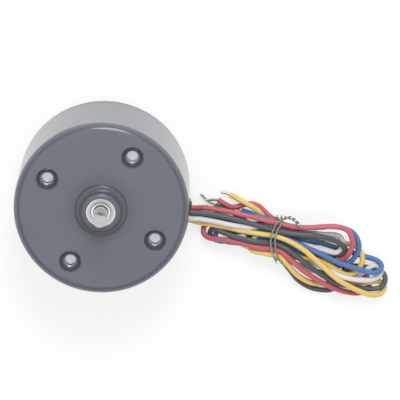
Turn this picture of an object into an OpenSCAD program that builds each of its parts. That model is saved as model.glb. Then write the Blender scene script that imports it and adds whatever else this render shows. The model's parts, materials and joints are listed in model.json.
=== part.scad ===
// Brushless DC motor with an outer rotor inside a deep-drawn can, a driver board and a wire hank.
// It stands on its rear cover with the shaft up. The origin is the centre of the rear face.

/* [Can] */
// Outside diameter of the can
can_d = 50; // [49:0.5:56]
// Height from the rear face to the front face
body_h = 30.5; // [29.5:0.5:40]
// Wall of the can's side
can_wall = 1; // [0.8:0.1:1.2]
// Thickness of the can's front face
face_t = 1.2; // [1:0.1:1.4]
// Radius of the rounded front edge
rim_r = 2.3; // [1.5:0.1:2.4]
// Thickness of the rear cover
cover_t = 1.2; // [1:0.1:1.6]
// Radius of the rear cover's rounded edge
cover_edge_r = 0.8; // [0.4:0.1:0.9]
// Height of the cover's ring inside the can
spigot_h = 1.8; // [1.4:0.1:2.2]
// Wall of that ring
spigot_wall = 0.8; // [0.6:0.1:1]

/* [Boss] */
// Height of the drawn boss above the front face
boss_h = 3.4; // [3:0.1:4.6]
// Wall of the boss round the front bearing
boss_wall = 1.1; // [0.9:0.1:1.6]
// Diameter of the low step round the boss's foot
boss_step_d = 14.6; // [14.2:0.1:14.7]
// Height of that step
boss_step_h = 0.8; // [0.6:0.1:1]
// Radius of the step's rounded edge
boss_step_edge_r = 0.5; // [0.2:0.1:0.5]
// Radius of the fillet between the step and the boss
boss_foot_r = 0.7; // [0.3:0.1:0.8]
// Radius of the boss's rounded top edge
boss_edge_r = 0.8; // [0.4:0.1:0.9]
// Width of the lip that holds the front bearing
lip_w = 0.35; // [0.2:0.05:0.5]
// Thickness of that lip
lip_t = 0.6; // [0.4:0.1:0.8]
// Diameter of the middle of the faint hollow that drawing leaves round the boss
hollow_d = 17.6; // [17.6:0.2:20]
// Width of the hollow
hollow_w = 2.8; // [2:0.2:2.8]
// Depth of the hollow
hollow_depth = 0.08; // [0.04:0.02:0.12]

/* [Screw holes] */
// Side of the square on which the four screw holes lie
hole_pitch = 25; // [24:0.25:26]
// Diameter of the screw holes
hole_d = 3.4; // [3.2:0.1:3.6]
// Turn of the square about the shaft, in degrees
hole_turn = 59.5; // [45:0.5:75]
// Diameter of the mouth of the pressed dimples
dimple_d = 6.3; // [5.8:0.1:7]
// Depth of the pressed dimples
dimple_depth = 1.3; // [1.2:0.1:1.8]
// Width of the flat ring at the foot of a dimple
dimple_floor_w = 0.6; // [0.4:0.1:0.8]

/* [Shaft] */
// Diameter of the shaft
shaft_d = 4; // [3.5:0.1:4.2]
// Length of shaft beyond the front face
shaft_reach = 12; // [8:0.5:25]
// Chamfer on the shaft's ends
shaft_chamfer = 0.4; // [0.2:0.1:0.6]

/* [Bearings] */
// Outside diameter of the ball bearings
bearing_d = 9; // [8.8:0.1:9.5]
// Width of the ball bearings
bearing_w = 4; // [3.6:0.1:4.2]
// Diameter of the balls
ball_d = 1.588; // [1.4:0.05:1.6]
// Number of balls in a bearing
ball_count = 7; // [6:1:8]
// Thickness of the shims beside the inner rings
shim_t = 0.3; // [0.2:0.05:0.4]
// Room for the wave washer above the rear bearing
washer_room = 0.4; // [0.35:0.05:0.6]

/* [Rotor] */
// Gap between the rotor bell and the can's wall
bell_side_gap = 1.4; // [1:0.1:2]
// Gap between the dimples and the rotor bell
bell_top_gap = 0.6; // [0.5:0.1:1]
// Wall of the rotor bell
bell_t = 1; // [0.8:0.1:1.2]
// Radius of the bell's rounded edge
bell_edge_r = 1.6; // [1.3:0.1:2]
// Radial thickness of the magnet ring
magnet_t = 2.6; // [2:0.1:3]
// Overhang of the magnet ring beyond each end of the lamination stack
magnet_over = 2.5; // [1:0.5:2.5]
// Diameter of the hub under the bell
hub_d = 11; // [10:0.5:13]
// Thickness of the hub under the bell
hub_t = 2; // [1.5:0.1:2.4]
// Diameter of the hub's riveted neck
hub_neck_d = 8; // [7:0.5:9]

/* [Stator] */
// Air gap between the stator and the magnet ring
air_gap = 0.4; // [0.3:0.05:0.6]
// Gap between the copper and the rotor bell
coil_top_gap = 2.6; // [2.2:0.1:4]
// Height of the stack's underside above the rear face
stack_z = 10.6; // [10.4:0.1:11]
// Number of stator teeth
tooth_count = 12; // [9:3:12]
// Width of a tooth
tooth_w = 2.6; // [2.2:0.1:2.8]
// Radial thickness of the tooth tips
tip_t = 1.2; // [0.8:0.1:1.6]
// Gap between neighbouring tooth tips
tip_gap = 1.6; // [1.2:0.1:2.4]
// Radial thickness of the ring that joins the teeth
yoke_t = 3.4; // [2.8:0.1:4]
// Axial thickness of the end insulators
insulator_t = 0.8; // [0.6:0.1:1]
// Thickness of the copper on each side of a tooth
coil_t = 1.3; // [1:0.1:1.3]
// Height of the copper above the end insulators
coil_rise = 1.6; // [1.2:0.1:1.8]
// Wall of the holder tube round the rear bearing
tube_wall = 1.1; // [0.9:0.1:1.3]
// Width of the step that carries the stator
tube_step = 1; // [0.6:0.1:1.2]
// Diameter of the holder's flange
flange_d = 22; // [21:0.5:23]
// Thickness of the holder's flange
flange_t = 2; // [1.8:0.1:2.4]

/* [Cover screws] */
// Diameter of the screws that hold the holder to the cover
screw_d = 2; // [1.6:0.1:2.2]
// Diameter of their countersunk heads
head_d = 3.8; // [3.4:0.1:4]
// Height of their countersunk heads
head_h = 0.9; // [0.7:0.1:1]

/* [Board] */
// Gap between the board's edge and the can's wall
board_side_gap = 1.6; // [1.4:0.1:2.4]
// Thickness of the circuit board
board_t = 1.2; // [1:0.1:1.4]
// Height of the board's underside above the rear face
board_z = 4.8; // [4.7:0.1:5]
// Width and length of the driver chip
chip_w = 7; // [5:0.5:8]
// Width of a power transistor
transistor_w = 5; // [4:0.5:5.5]
// Length of a position sensor
sensor_w = 3; // [2.5:0.1:4]

/* [Wires] */
// Outside diameter of a wire's insulation
wire_d = 1.6; // [1.4:0.05:1.6]
// Diameter of a wire's tinned strands
strand_d = 0.8; // [0.6:0.05:0.9]
// Direction in which the wires leave the can, in degrees
exit_turn = -18.5; // [-25:0.5:-15]
// Distance between neighbouring wires in the grommet
wire_pitch = 1.9; // [1.8:0.05:2]
// Thickness of the grommet's lips inside and outside the can
grommet_lip = 0.4; // [0.3:0.1:1.2]
// Diameter of the wire tie
tie_d = 0.6; // [0.4:0.1:0.7]

/* [Hidden] */

// Overrun of every cut, so that no face is left on another
cut = 0.5;
// Gap left between pieces that are pressed or clipped together
seat_gap = 0.02;
// Facets of round pieces
fine = 96;
small = 32;

// Can and boss
can_r = can_d / 2;
can_inner_r = can_r - can_wall;
face_z = body_h;
face_inner_z = face_z - face_t;
bearing_r = bearing_d / 2;
lip_r = bearing_r - lip_w;
boss_r = bearing_r + boss_wall;
boss_step_r = boss_step_d / 2;
boss_top_z = face_z + boss_h;

// Screw holes and dimples
hole_r = hole_d / 2;
hole_circle_r = hole_pitch / sqrt(2);
hole_turns = [for (k = [0:3]) hole_turn + 90 * k];
dimple_r = dimple_d / 2;
dimple_floor_r = hole_r + dimple_floor_w;
dimple_wall = 0.75 * face_t;

// Bearings, with the ring walls as shares of the room between shaft and pocket
shaft_r = shaft_d / 2;
ring_room = bearing_r - shaft_r;
inner_ring_share = 0.3;
outer_ring_share = 0.26;
inner_ring_r = shaft_r + inner_ring_share * ring_room;
outer_land_r = bearing_r - outer_ring_share * ring_room;
pitch_r = (inner_ring_r + outer_land_r) / 2;
ball_r = ball_d / 2;
race_gap = 0.03;
cage_gap = 0.06;
cage_wall = ball_r / 2;
cage_low = 1.5 * ball_r;
cage_high = 0.55 * ball_r;
shield_t = 0.2;
shield_inset = 0.15;
shield_gap = 0.2;
ring_chamfer = 0.3;

// Heights along the shaft, from the rear up
clip_t = 0.6;
clip_r = 3.4;
groove_r = 1.6;
relief_depth = 0.2;
relief_half = 0.35;
shaft_end_gap = 0.7;
shaft_end_z = cover_t + shaft_end_gap;
clip_z = shaft_end_z + shaft_chamfer + clip_t / 2;
rear_shim_z = clip_z + clip_t;
rear_bearing_z = rear_shim_z + shim_t;
shoulder_z = rear_bearing_z + bearing_w + washer_room;
front_bearing_z = boss_top_z - lip_t - bearing_w;
front_shim_z = front_bearing_z - shim_t;
shaft_tip_z = face_z + shaft_reach;

// Rotor
bell_r = can_inner_r - bell_side_gap;
bell_inner_r = bell_r - bell_t;
bell_top_z = face_inner_z - dimple_depth - bell_top_gap;
bell_under_z = bell_top_z - bell_t;
stack_h = bell_under_z - coil_top_gap - coil_rise - insulator_t - stack_z;
magnet_h = stack_h + 2 * magnet_over;
magnet_z = stack_z - magnet_over;
skirt_lap = 0.3;
bell_low_z = magnet_z - skirt_lap;
magnet_inner_r = bell_inner_r - magnet_t;
neck_lap = 0.5;

// Stator
stator_r = magnet_inner_r - air_gap;
tip_r = stator_r - tip_t;
tube_r = bearing_r + tube_wall;
tube_bore_r = bearing_r - tube_wall;
step_r = tube_r + tube_step;
yoke_r = tube_r + yoke_t;
stack_top_z = stack_z + stack_h;
tube_lap = 0.6;
tube_top_z = stack_top_z + insulator_t + tube_lap;
flange_r = flange_d / 2;
coil_gap = 0.1;
coil_half_w = tooth_w / 2 + coil_gap / 2 + coil_t;
coil_in_r = max(yoke_r + coil_gap, (coil_half_w + coil_gap) / tan(180 / tooth_count));
coil_out_r = sqrt(pow(tip_r - coil_gap, 2) - pow(coil_half_w, 2));
peg_place_r = (step_r + yoke_r) / 2;
peg_r = 0.8;
peg_turns = [90, 210, 330];
pin_r = 0.4;
pin_turns = [30, 150, 270];
peg_lap = 0.5;

// Screws between cover and holder, with a cross recess in the head
head_inset = 0.1;
screw_turns = [30, 150, 270];
screw_place_r = (step_r + flange_r) / 2;
screw_top_z = cover_t + flange_t - head_inset;
recess_w = 0.4;
recess_l = 2.2;

// Board and what it carries
board_r = can_inner_r - board_side_gap;
board_top_z = board_z + board_t;
sheet_t = 0.3;
sheet_gap = 0.2;
chip_t = 1;
transistor_t = 1.1;
capacitor_size = [3.2, 2.5, 1.8];
sensor_size = [1.6, sensor_w, 1.1];
parts_inset = 1.4;
parts_r = (flange_r + board_r) / 2 - parts_inset;
transistor_turns = [50, 80, 110, 250, 280, 310];
capacitor_turns = [-18, 18, 145, 215];
sensor_turns = [150, 180, 210];

// Wires in the grommet: three below and two above them, between those
wire_r = wire_d / 2;
low_row_gap = 0.9;
low_row_z = cover_t + wire_r + low_row_gap;
row_rise = 1.7;
high_row_z = low_row_z + row_rise;
grommet_rim = 0.6;
slot_w = 2 * wire_pitch + wire_d + 2 * grommet_rim;
slot_top_z = high_row_z + wire_r + grommet_rim;
lip_lap = 0.5;
notch_depth = 0.8;
wire_start_r = board_r - notch_depth;
terminal_r = 0.4;
wire_places = [
  [wire_pitch, low_row_z], [wire_pitch / 2, high_row_z], [-wire_pitch / 2, high_row_z],
  [-wire_pitch, low_row_z], [0, low_row_z]
];

// Steps out through the grommet, and how finely the wires are drawn
exit_step = 2.6;
ring_step = 2.4;
fold_points = 3;
wire_sides = 6;

// Points of a wire from its terminal out through the grommet
function way_out(p) = [for (k = [0:2])
  let (r = wire_start_r + exit_step * k)
  [r * cos(exit_turn) - p.x * sin(exit_turn), r * sin(exit_turn) + p.x * cos(exit_turn), p.y]];

// The hank: each wire goes out to the right, back to the left, out again and back to its end.
// The tie holds the strands in three layers at x = 50.
red_route = concat(
  way_out(wire_places[0]), [
    [29, -6.5, 3.4], [33.6, -7, 4], [38.3, -7.8, 4.5], [42.8, -8.8, 4.9], [47.2, -9.9, 5],
    [51.6, -10.9, 5], [55.9, -11.8, 5.4], [60.6, -11.9, 5.8], [64.8, -11.6, 5.9], [69.5, -11.9, 5.9],
    [71.6, -13, 5.8], [72.7, -15.2, 5.8], [73, -16.9, 5.7], [72.1, -19.7, 5.1], [71, -21.7, 3.9],
    [69.6, -22.6, 3.2], [67.5, -23, 3.1], [65.6, -22.9, 2.4], [63.2, -22.6, 1.3], [60.8, -21.9, 0.9],
    [57, -20.9, 0.9], [52.2, -20.1, 1.3], [48.3, -18.1, 1.1], [44, -16, 2.2], [41.5, -14.7, 1.4],
    [40, -13.8, 1.4], [38.6, -12.9, 1.9], [36.3, -12.3, 2.3], [31.6, -11.7, 1.5], [29.4, -12.6, 1.4],
    [29.2, -14.6, 2.3], [30.7, -15.7, 3.3], [33, -15.9, 3.9], [36.3, -16.1, 4.6], [37.6, -16.4, 4.8],
    [41.5, -17.1, 5.4], [43.3, -17.5, 5.8], [45.9, -18.1, 5.9], [47.8, -18.4, 5.4], [50.4, -18.9, 5],
    [52.6, -19.9, 5.2], [54.6, -21.6, 5.6], [58, -24.8, 5.4], [61.4, -27.3, 5], [65, -29.6, 4.4],
    [69.1, -31.6, 3.6], [73.3, -33.1, 1.7], [75.2, -33.3, 1.1], [77.5, -32.4, 1], [78.3, -29.9, 0.9],
    [77.4, -28.2, 0.9], [73.2, -26.8, 0.9], [69.1, -24.3, 0.9], [65.7, -21.3, 0.9], [64.5, -20.7, 0.9],
    [61.7, -18.8, 0.9], [59, -16.9, 0.9], [58, -16, 0.9], [54.5, -13.3, 1], [50.6, -10.9, 1.5],
    [48.5, -9.6, 1.4], [47.1, -8.3, 1], [45.3, -6.7, 0.9], [43.2, -6, 0.9], [40.7, -6.3, 0.9],
    [38.9, -6.9, 1], [37.3, -6.9, 1.2], [33.4, -4.8, 1]
  ]
);
black_route = concat(
  way_out(wire_places[1]), [
    [29, -7.8, 4.7], [32.9, -8.4, 4.8], [37.7, -9.4, 4.9], [42.2, -10.6, 5], [46.6, -11.9, 5.1],
    [50.9, -13.1, 5], [55.6, -13.8, 5.7], [60, -14.1, 6], [64.5, -14.9, 5.6], [66.6, -15.6, 5.2],
    [68.9, -16.8, 4.7], [70.6, -18.4, 4.2], [71, -19.9, 3.3], [69.4, -21.4, 2.2], [67.2, -21.1, 2],
    [63, -19.5, 2.3], [58.3, -19.1, 1.6], [54.2, -18.7, 1.4], [51.6, -18.2, 1.6], [49.9, -17.3, 1.5],
    [47.9, -16.5, 2], [45.7, -17, 3.3], [43.4, -17.6, 3.6], [41.2, -17.6, 2.9], [37.1, -17.4, 2],
    [34.6, -17.2, 1.1], [32.7, -17, 0.9], [31, -15.6, 1.1], [31.4, -13.6, 1.9], [32.6, -13, 3.2],
    [35.3, -14, 4.3], [39.3, -15.1, 5.4], [44, -15.9, 6.3], [48.4, -16.8, 5.2], [50.4, -17.2, 5],
    [52.7, -18.1, 5.2], [54.3, -19, 5.5], [56.4, -20.6, 5.6], [59.9, -23.6, 5.2], [63.4, -26.3, 4.7],
    [67.3, -28.7, 4.7], [69.6, -29.7, 4.6], [71.9, -30.4, 3.8], [76.4, -31.3, 3], [80.8, -31.4, 2.6],
    [82.5, -30.2, 2.5], [82.8, -27.9, 2], [81.5, -26.4, 1.2], [79.4, -25.8, 0.9], [75.1, -25.1, 1],
    [72.7, -24.9, 1.7], [70.7, -26, 2.5], [69.2, -30.1, 2.4], [67.7, -31.7, 1.8], [65.5, -32.4, 1.1],
    [60.9, -31.6, 1], [57.1, -29.1, 1.5], [54.7, -25.9, 2.3], [51.9, -22.2, 3.2], [50.2, -21.2, 3.4],
    [47.9, -20.3, 3.1], [46.1, -19.4, 2.1], [44.7, -17.9, 0.9], [43, -13.7, 0.9], [41.7, -11.5, 0.9],
    [39.9, -9.9, 0.9], [35.9, -7.8, 0.9], [32.6, -6.5, 0.9]
  ]
);
white_route = concat(
  way_out(wire_places[2]), [
    [27.9, -9.6, 4.6], [32.3, -10.3, 4.8], [37, -11.3, 5], [41.6, -12.1, 4.5], [44, -12.3, 4.1],
    [45.9, -12, 3.7], [48.4, -12.1, 3.3], [50.3, -12.8, 3.2], [54.7, -13.8, 3.7], [59.8, -14.1, 4],
    [61.7, -14.2, 3.9], [64.3, -14.5, 3.8], [68.8, -15.2, 2.8], [69.9, -16.5, 2.8], [69.9, -18.8, 2.8],
    [68.3, -20.3, 3.1], [66, -19.9, 3.6], [61.7, -18.5, 3.6], [57.3, -17.6, 3.2], [52.8, -16.9, 1.9],
    [51, -16.3, 1.5], [48.4, -14.9, 1.6], [44.9, -14.6, 4.2], [44.2, -15.9, 4.9], [46.2, -17.4, 4.5],
    [48.4, -17.4, 3.7], [50.9, -18.4, 3.3], [54.8, -20, 2.7], [59.1, -22, 2.7], [62.7, -23.8, 3.9],
    [66.8, -25.6, 5.1], [69.6, -26.8, 5.6], [71.4, -27.4, 5.5], [75.6, -28.3, 4.6], [80, -27.8, 3.8],
    [81.6, -26.1, 3], [80.2, -24.7, 2.4], [78.5, -25, 2.4], [76.6, -26.4, 2.5], [74.4, -27.7, 2.4],
    [72.6, -28.3, 1.8], [70.2, -28.5, 1], [67.9, -28, 0.9], [63.4, -26.9, 0.9], [59.2, -25.6, 0.9],
    [55, -23.6, 1.1], [51, -21.3, 1.5], [48.3, -20, 1.4], [46.7, -20.1, 1], [44.9, -20.1, 0.9],
    [42.5, -19.3, 0.9], [39.8, -17.9, 0.9], [38.5, -16.4, 0.9], [37.5, -14, 0.9], [37.2, -12, 0.9],
    [36.3, -10.3, 0.9], [34.9, -9, 0.9], [32.4, -8.1, 0.9]
  ]
);
yellow_route = concat(
  way_out(wire_places[3]), [
    [28, -11.1, 3.2], [32, -11.6, 3.7], [36.7, -12.5, 4.1], [41, -13.5, 4.6], [43, -13.6, 5.2],
    [45.7, -13.9, 5.5], [50.4, -14.8, 5], [54.3, -16.1, 5.8], [58.2, -18.3, 6.4], [61.9, -21.4, 6.6],
    [65.2, -24.5, 6.7], [68.5, -27.4, 6.7], [72.2, -29.9, 5.9], [76.1, -32, 5], [80.5, -33.3, 3],
    [82.5, -32.3, 1.5], [82.5, -31, 1], [80.6, -29.6, 1.5], [78.2, -29.6, 2.5], [75.6, -29.8, 2],
    [73.8, -29.9, 1.3], [69.4, -30.3, 0.9], [64.8, -30.2, 1.9], [61, -29.5, 3.2], [56.8, -26.9, 4.2],
    [54, -23.6, 4.8], [52, -21.4, 5.1], [50.3, -20.6, 5.1], [48.4, -20.3, 5], [46.3, -19.7, 4.3],
    [43.5, -18.7, 2.5], [44.2, -17.9, 2.3], [48.4, -18.8, 2.9], [52.7, -20.7, 3.1], [55.7, -21.5, 3.7],
    [57, -21.6, 4], [61.4, -21.8, 4.4], [65.9, -23.6, 4.2], [69.7, -26.1, 4.2], [72, -26.8, 4],
    [74.3, -26, 3.5], [76.1, -22.4, 2.7], [74.1, -18.6, 2.1], [71.6, -18.1, 1.2], [69.9, -17.8, 1],
    [65.3, -16.6, 1.1], [60.4, -15.4, 1.7], [56.2, -14.9, 2.3], [52.1, -13.5, 1.7], [47.8, -11, 1.6],
    [45, -7.7, 2.1], [40.9, -5.1, 2.3], [36.9, -3.1, 1]
  ]
);
blue_route = concat(
  way_out(wire_places[4]), [
    [28.5, -9.4, 2.8], [32.7, -10.4, 2.8], [37.5, -11.3, 3.2], [38.8, -11.6, 3.1], [42, -11.9, 2.5],
    [46.1, -12.1, 1.4], [50, -14, 1.2], [54.7, -16.1, 1.4], [59.2, -16.8, 2.2], [61.1, -17, 2],
    [63.5, -17.7, 1.5], [67.3, -19, 1.1], [72, -20.5, 0.9], [76.6, -22, 1.1], [80.6, -23.1, 2.7],
    [81.8, -24.4, 4], [80.7, -25.6, 5], [79, -25.8, 5.3], [76, -25.1, 5.5], [71.5, -23.6, 5.6],
    [67.6, -22.1, 5.5], [63.3, -20, 5.3], [59, -18.1, 4.9], [54.9, -16.1, 4.3], [51.1, -14.6, 3.4],
    [46.6, -13.4, 3.3], [44, -13.8, 3], [42.1, -14, 3], [37.6, -13.9, 2.8], [34.8, -13.7, 2.3],
    [32.6, -14.4, 2.1], [32.6, -16.3, 2.3], [34.6, -16.7, 2.7], [37.3, -16.3, 3.2], [39.3, -16.3, 3.4],
    [44, -16, 3.6], [46.6, -15.7, 3.8], [48.4, -15.9, 3.5], [52.2, -17.4, 3.4], [53.5, -17.9, 3.5],
    [56.6, -19.2, 3.3], [58.9, -20.1, 2.9], [61.1, -21.2, 2.7], [64.4, -23.7, 2.9], [66.2, -24.6, 2.7],
    [68.8, -24.4, 2.8], [71.2, -23.7, 3.3], [73, -22.5, 3.5], [74.9, -18.2, 4.2], [73.3, -14.2, 4.2],
    [69.4, -12.3, 4.2], [65.7, -12, 4.2], [64.4, -12.2, 4.2], [59.7, -12.4, 4.1], [55.6, -12.3, 3.7],
    [51, -11.3, 3.2], [46.9, -9.6, 3.4], [44.6, -8.9, 3.1], [42.6, -8.5, 1.9], [40.4, -8, 1]
  ]
);

// Bare, tinned ends of the five wires, each from the end of its insulation
end_routes = [
  [[33.4, -4.8, 1], [31.4, -4.6, 1.5], [29.5, -4.7, 2]],
  [[32.6, -6.5, 0.85], [30.2, -5, 0.7], [28.3, -3.1, 0.5]],
  [[32.4, -8.1, 0.85], [31, -7.3, 0.8], [30, -6.6, 0.7]],
  [[36.9, -3.1, 1], [35.6, -2.7, 0.8], [34.2, -2.5, 0.8]],
  [[40.4, -8, 1], [39.4, -7.6, 0.8], [38.6, -7.4, 0.8]]
];

// Wire tie: one turn round the hank's waist, drawn aside on top, and the twisted pair of its ends
tie_turn = [
  [50.6, -10.5, 6.1], [49.4, -12.6, 6.2], [48.7, -15.2, 6.3], [48.7, -17.6, 6.3], [49.2, -20.2, 6.3],
  [49.8, -21.9, 6.1], [50, -22.9, 5.2], [50, -23.1, 3], [50, -22.6, 0.9], [50, -21.4, 0.4],
  [50, -16, 0.35], [49.9, -10.9, 0.35], [49.8, -9.5, 1], [49.9, -9.2, 3.4], [50.2, -9.4, 5.4]
];
tie_pitch = 1.25;
tie_turns = 2;
tie_points = 12;
tail_twist = 60;
tail_route = [
  [51.6, -9.8, 6.2], [52.7, -8.9, 6.4], [53.9, -8.6, 6.6], [55.1, -8.9, 6.7], [56.1, -9.6, 6.8],
  [56.8, -10.5, 6.9], [57.2, -11.4, 7.1]
];

// A disc whose upper outer edge is rounded
module rounded_disc(r, h, edge) {
  rotate_extrude($fn = fine)
    difference() {
      square([r, h]);
      translate([r - edge, h - edge])
        difference() {
          square(edge + cut);
          circle(edge, $fn = small);
        }
    }
}

// A flat ring that stands on height z
module ring(z, h, outer_r, inner_r) {
  translate([0, 0, z])
    difference() {
      cylinder(h = h, r = outer_r, $fn = fine);
      translate([0, 0, -cut])
        cylinder(h = h + 2 * cut, r = inner_r, $fn = fine);
    }
}

// Puts its children at each of the given turns, a distance out from the axis
module placed(turns, r) {
  for (a = turns)
    rotate(a)
      translate([r, 0, 0])
        children();
}

// A box centred across and along, standing on z = 0
module plate(size) {
  translate([-size.x / 2, -size.y / 2, 0])
    cube(size);
}

// What is cut from an outer corner at the given point to round it
module edge_cut(corner, r) {
  translate([corner.x - r, corner.y - r])
    difference() {
      square(r + cut);
      circle(r, $fn = small);
    }
}

module boss_shape() {
  rotate_extrude($fn = fine)
    difference() {
      union() {
        translate([0, -face_t / 2])
          square([boss_r, boss_h + face_t / 2]);
        translate([0, -face_t / 2])
          square([boss_r + boss_foot_r, boss_step_h + boss_foot_r + face_t / 2]);
        translate([0, -face_t / 2])
          square([boss_step_r, boss_step_h + face_t / 2]);
      }
      translate([boss_r + boss_foot_r, boss_step_h + boss_foot_r])
        circle(boss_foot_r, $fn = small);
      edge_cut([boss_r, boss_h], boss_edge_r);
      edge_cut([boss_step_r, boss_step_h], boss_step_edge_r);
    }
}

// The shallow round-bottomed hollow round the boss
module face_hollow() {
  hollow_r = (hollow_w * hollow_w / 4 + hollow_depth * hollow_depth) / (2 * hollow_depth);
  translate([0, 0, face_z])
    rotate_extrude($fn = fine)
      intersection() {
        translate([hollow_d / 2, hollow_r - hollow_depth])
          circle(hollow_r, $fn = 2 * fine);
        translate([(hollow_d - hollow_w) / 2, -hollow_depth - cut])
          square([hollow_w, hollow_depth + 2 * cut]);
      }
}

module dimple_metal() {
  slope = (dimple_r - dimple_floor_r) / dimple_depth;
  top = dimple_depth + face_t / 2;
  translate([0, 0, face_inner_z - dimple_depth])
    cylinder(h = top, r1 = dimple_floor_r + dimple_wall,
      r2 = dimple_floor_r + dimple_wall + slope * top, $fn = small);
}

module dimple_hollow() {
  slope = (dimple_r - dimple_floor_r) / dimple_depth;
  top = dimple_depth + cut;
  translate([0, 0, face_z - dimple_depth])
    cylinder(h = top, r1 = dimple_floor_r, r2 = dimple_floor_r + slope * top, $fn = small);
  translate([0, 0, face_inner_z - dimple_depth - cut])
    cylinder(h = face_t + 2 * cut, r = hole_r, $fn = small);
}

// The slot in the can's edge that the grommet fills
module grommet_slot() {
  rotate(exit_turn)
    translate([can_inner_r - 2 * can_wall, -slot_w / 2, cover_t - cut])
      cube([4 * can_wall, slot_w, slot_top_z - cover_t + cut]);
}

module front_housing() {
  color([0.2, 0.21, 0.23])
    difference() {
      union() {
        difference() {
          translate([0, 0, cover_t])
            rounded_disc(can_r, face_z - cover_t, rim_r);
          translate([0, 0, cover_t - cut])
            rounded_disc(can_inner_r, face_inner_z - cover_t + cut, rim_r - can_wall);
        }
        translate([0, 0, face_z])
          boss_shape();
        placed(hole_turns, hole_circle_r)
          dimple_metal();
      }
      placed(hole_turns, hole_circle_r)
        dimple_hollow();
      translate([0, 0, face_inner_z - cut])
        cylinder(h = front_bearing_z + bearing_w - face_inner_z + cut, r = bearing_r + seat_gap,
          $fn = fine);
      cylinder(h = boss_top_z + cut, r = lip_r, $fn = fine);
      face_hollow();
      grommet_slot();
    }
}

// Shape of a countersunk screw, opened out by gap for the hole that it lies in
module screw_shape(gap, low, high) {
  translate([0, 0, low])
    cylinder(h = high - low, r = screw_d / 2 + gap, $fn = small);
  translate([0, 0, head_inset])
    cylinder(h = head_h, r1 = head_d / 2 + gap, r2 = screw_d / 2 + gap, $fn = small);
}

module rear_cover() {
  color([0.22, 0.23, 0.25])
    difference() {
      union() {
        translate([0, 0, cover_t])
          mirror([0, 0, 1])
            rounded_disc(can_r, cover_t, cover_edge_r);
        ring(cover_t - cover_t / 4, spigot_h + cover_t / 4, can_inner_r - seat_gap,
          can_inner_r - seat_gap - spigot_wall);
      }
      placed(screw_turns, screw_place_r) {
        screw_shape(seat_gap, -cut, cover_t + cut);
        translate([0, 0, -cut])
          cylinder(h = cut + head_inset, r = head_d / 2 + seat_gap, $fn = small);
      }
      rotate(exit_turn)
        translate([can_inner_r - 3 * spigot_wall, -slot_w / 2 - lip_lap - cut / 2, cover_t])
          cube([4 * spigot_wall, slot_w + 2 * lip_lap + cut, spigot_h + cut]);
    }
}

module cover_screws() {
  color([0.62, 0.63, 0.65])
    placed(screw_turns, screw_place_r)
      difference() {
        screw_shape(0, head_inset, screw_top_z);
        for (a = [0, 90])
          rotate(a)
            translate([0, 0, -cut])
              plate([recess_w, recess_l, cut + head_inset + recess_w]);
      }
}

module stator_holder() {
  color([0.72, 0.73, 0.75])
    difference() {
      union() {
        translate([0, 0, cover_t])
          cylinder(h = flange_t, r = flange_r, $fn = fine);
        translate([0, 0, cover_t])
          cylinder(h = stack_z - cover_t, r = step_r, $fn = fine);
        translate([0, 0, cover_t])
          cylinder(h = tube_top_z - cover_t, r = tube_r - seat_gap, $fn = fine);
      }
      translate([0, 0, cover_t - cut])
        cylinder(h = shoulder_z - cover_t + cut, r = bearing_r + seat_gap, $fn = fine);
      cylinder(h = tube_top_z + cut, r = tube_bore_r, $fn = fine);
      placed(screw_turns, screw_place_r)
        translate([0, 0, cover_t - cut])
          cylinder(h = flange_t + 2 * cut, r = screw_d / 2 + seat_gap, $fn = small);
    }
}

// Outline of the stator: a ring, its teeth and, out to tip_outer_r, their tips
module stator_outline(inner_r, tip_outer_r) {
  tip_half = 180 / tooth_count - asin(tip_gap / 2 / stator_r);
  difference() {
    union() {
      circle(yoke_r, $fn = fine);
      for (k = [0:tooth_count - 1])
        rotate(k * 360 / tooth_count) {
          translate([0, -tooth_w / 2])
            square([tip_r + tip_t / 2, tooth_w]);
          intersection() {
            difference() {
              circle(tip_outer_r, $fn = fine);
              circle(tip_r, $fn = fine);
            }
            polygon([
              [0, 0],
              [2 * stator_r * cos(tip_half), -2 * stator_r * sin(tip_half)],
              [2 * stator_r * cos(tip_half), 2 * stator_r * sin(tip_half)]
            ]);
          }
        }
    }
    circle(inner_r, $fn = fine);
  }
}

module stator_core() {
  color([0.5, 0.51, 0.53])
    translate([0, 0, stack_z])
      linear_extrude(stack_h)
        stator_outline(tube_r, stator_r);
}

module front_insulator() {
  color([0.85, 0.84, 0.78])
    translate([0, 0, stack_top_z])
      linear_extrude(insulator_t)
        stator_outline(tube_r + coil_gap, tip_r + tip_t / 2);
}

module rear_insulator() {
  color([0.85, 0.84, 0.78]) {
    translate([0, 0, stack_z - insulator_t])
      linear_extrude(insulator_t)
        stator_outline(step_r + coil_gap, tip_r + tip_t / 2);
    placed(peg_turns, peg_place_r)
      translate([0, 0, board_z - peg_lap])
        cylinder(h = stack_z - insulator_t / 2 - board_z + peg_lap, r = peg_r, $fn = small);
  }
}

module lead_pins() {
  color([0.82, 0.78, 0.6])
    placed(pin_turns, peg_place_r)
      translate([0, 0, board_z - peg_lap])
        cylinder(h = stack_z - insulator_t - board_z + peg_lap, r = pin_r, $fn = small);
}

// Rectangle with round corners, centred
module rounded_rectangle(w, h, r) {
  square([w, h - 2 * r], center = true);
  square([w - 2 * r, h], center = true);
  for (x = [-1, 1], y = [-1, 1])
    translate([x * (w / 2 - r), y * (h / 2 - r)])
      circle(r, $fn = small);
}

// One coil round a tooth, as a plain ring of copper
module coil() {
  core_h = stack_h + 2 * insulator_t + coil_gap;
  translate([coil_in_r, 0, stack_z + stack_h / 2])
    rotate([90, 0, 90])
      linear_extrude(coil_out_r - coil_in_r)
        difference() {
          rounded_rectangle(2 * coil_half_w, core_h + 2 * coil_rise, coil_t);
          square([2 * (coil_half_w - coil_t), core_h], center = true);
        }
}

module windings() {
  color([0.72, 0.38, 0.2])
    for (k = [0:tooth_count - 1])
      rotate(k * 360 / tooth_count)
        coil();
}

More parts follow.
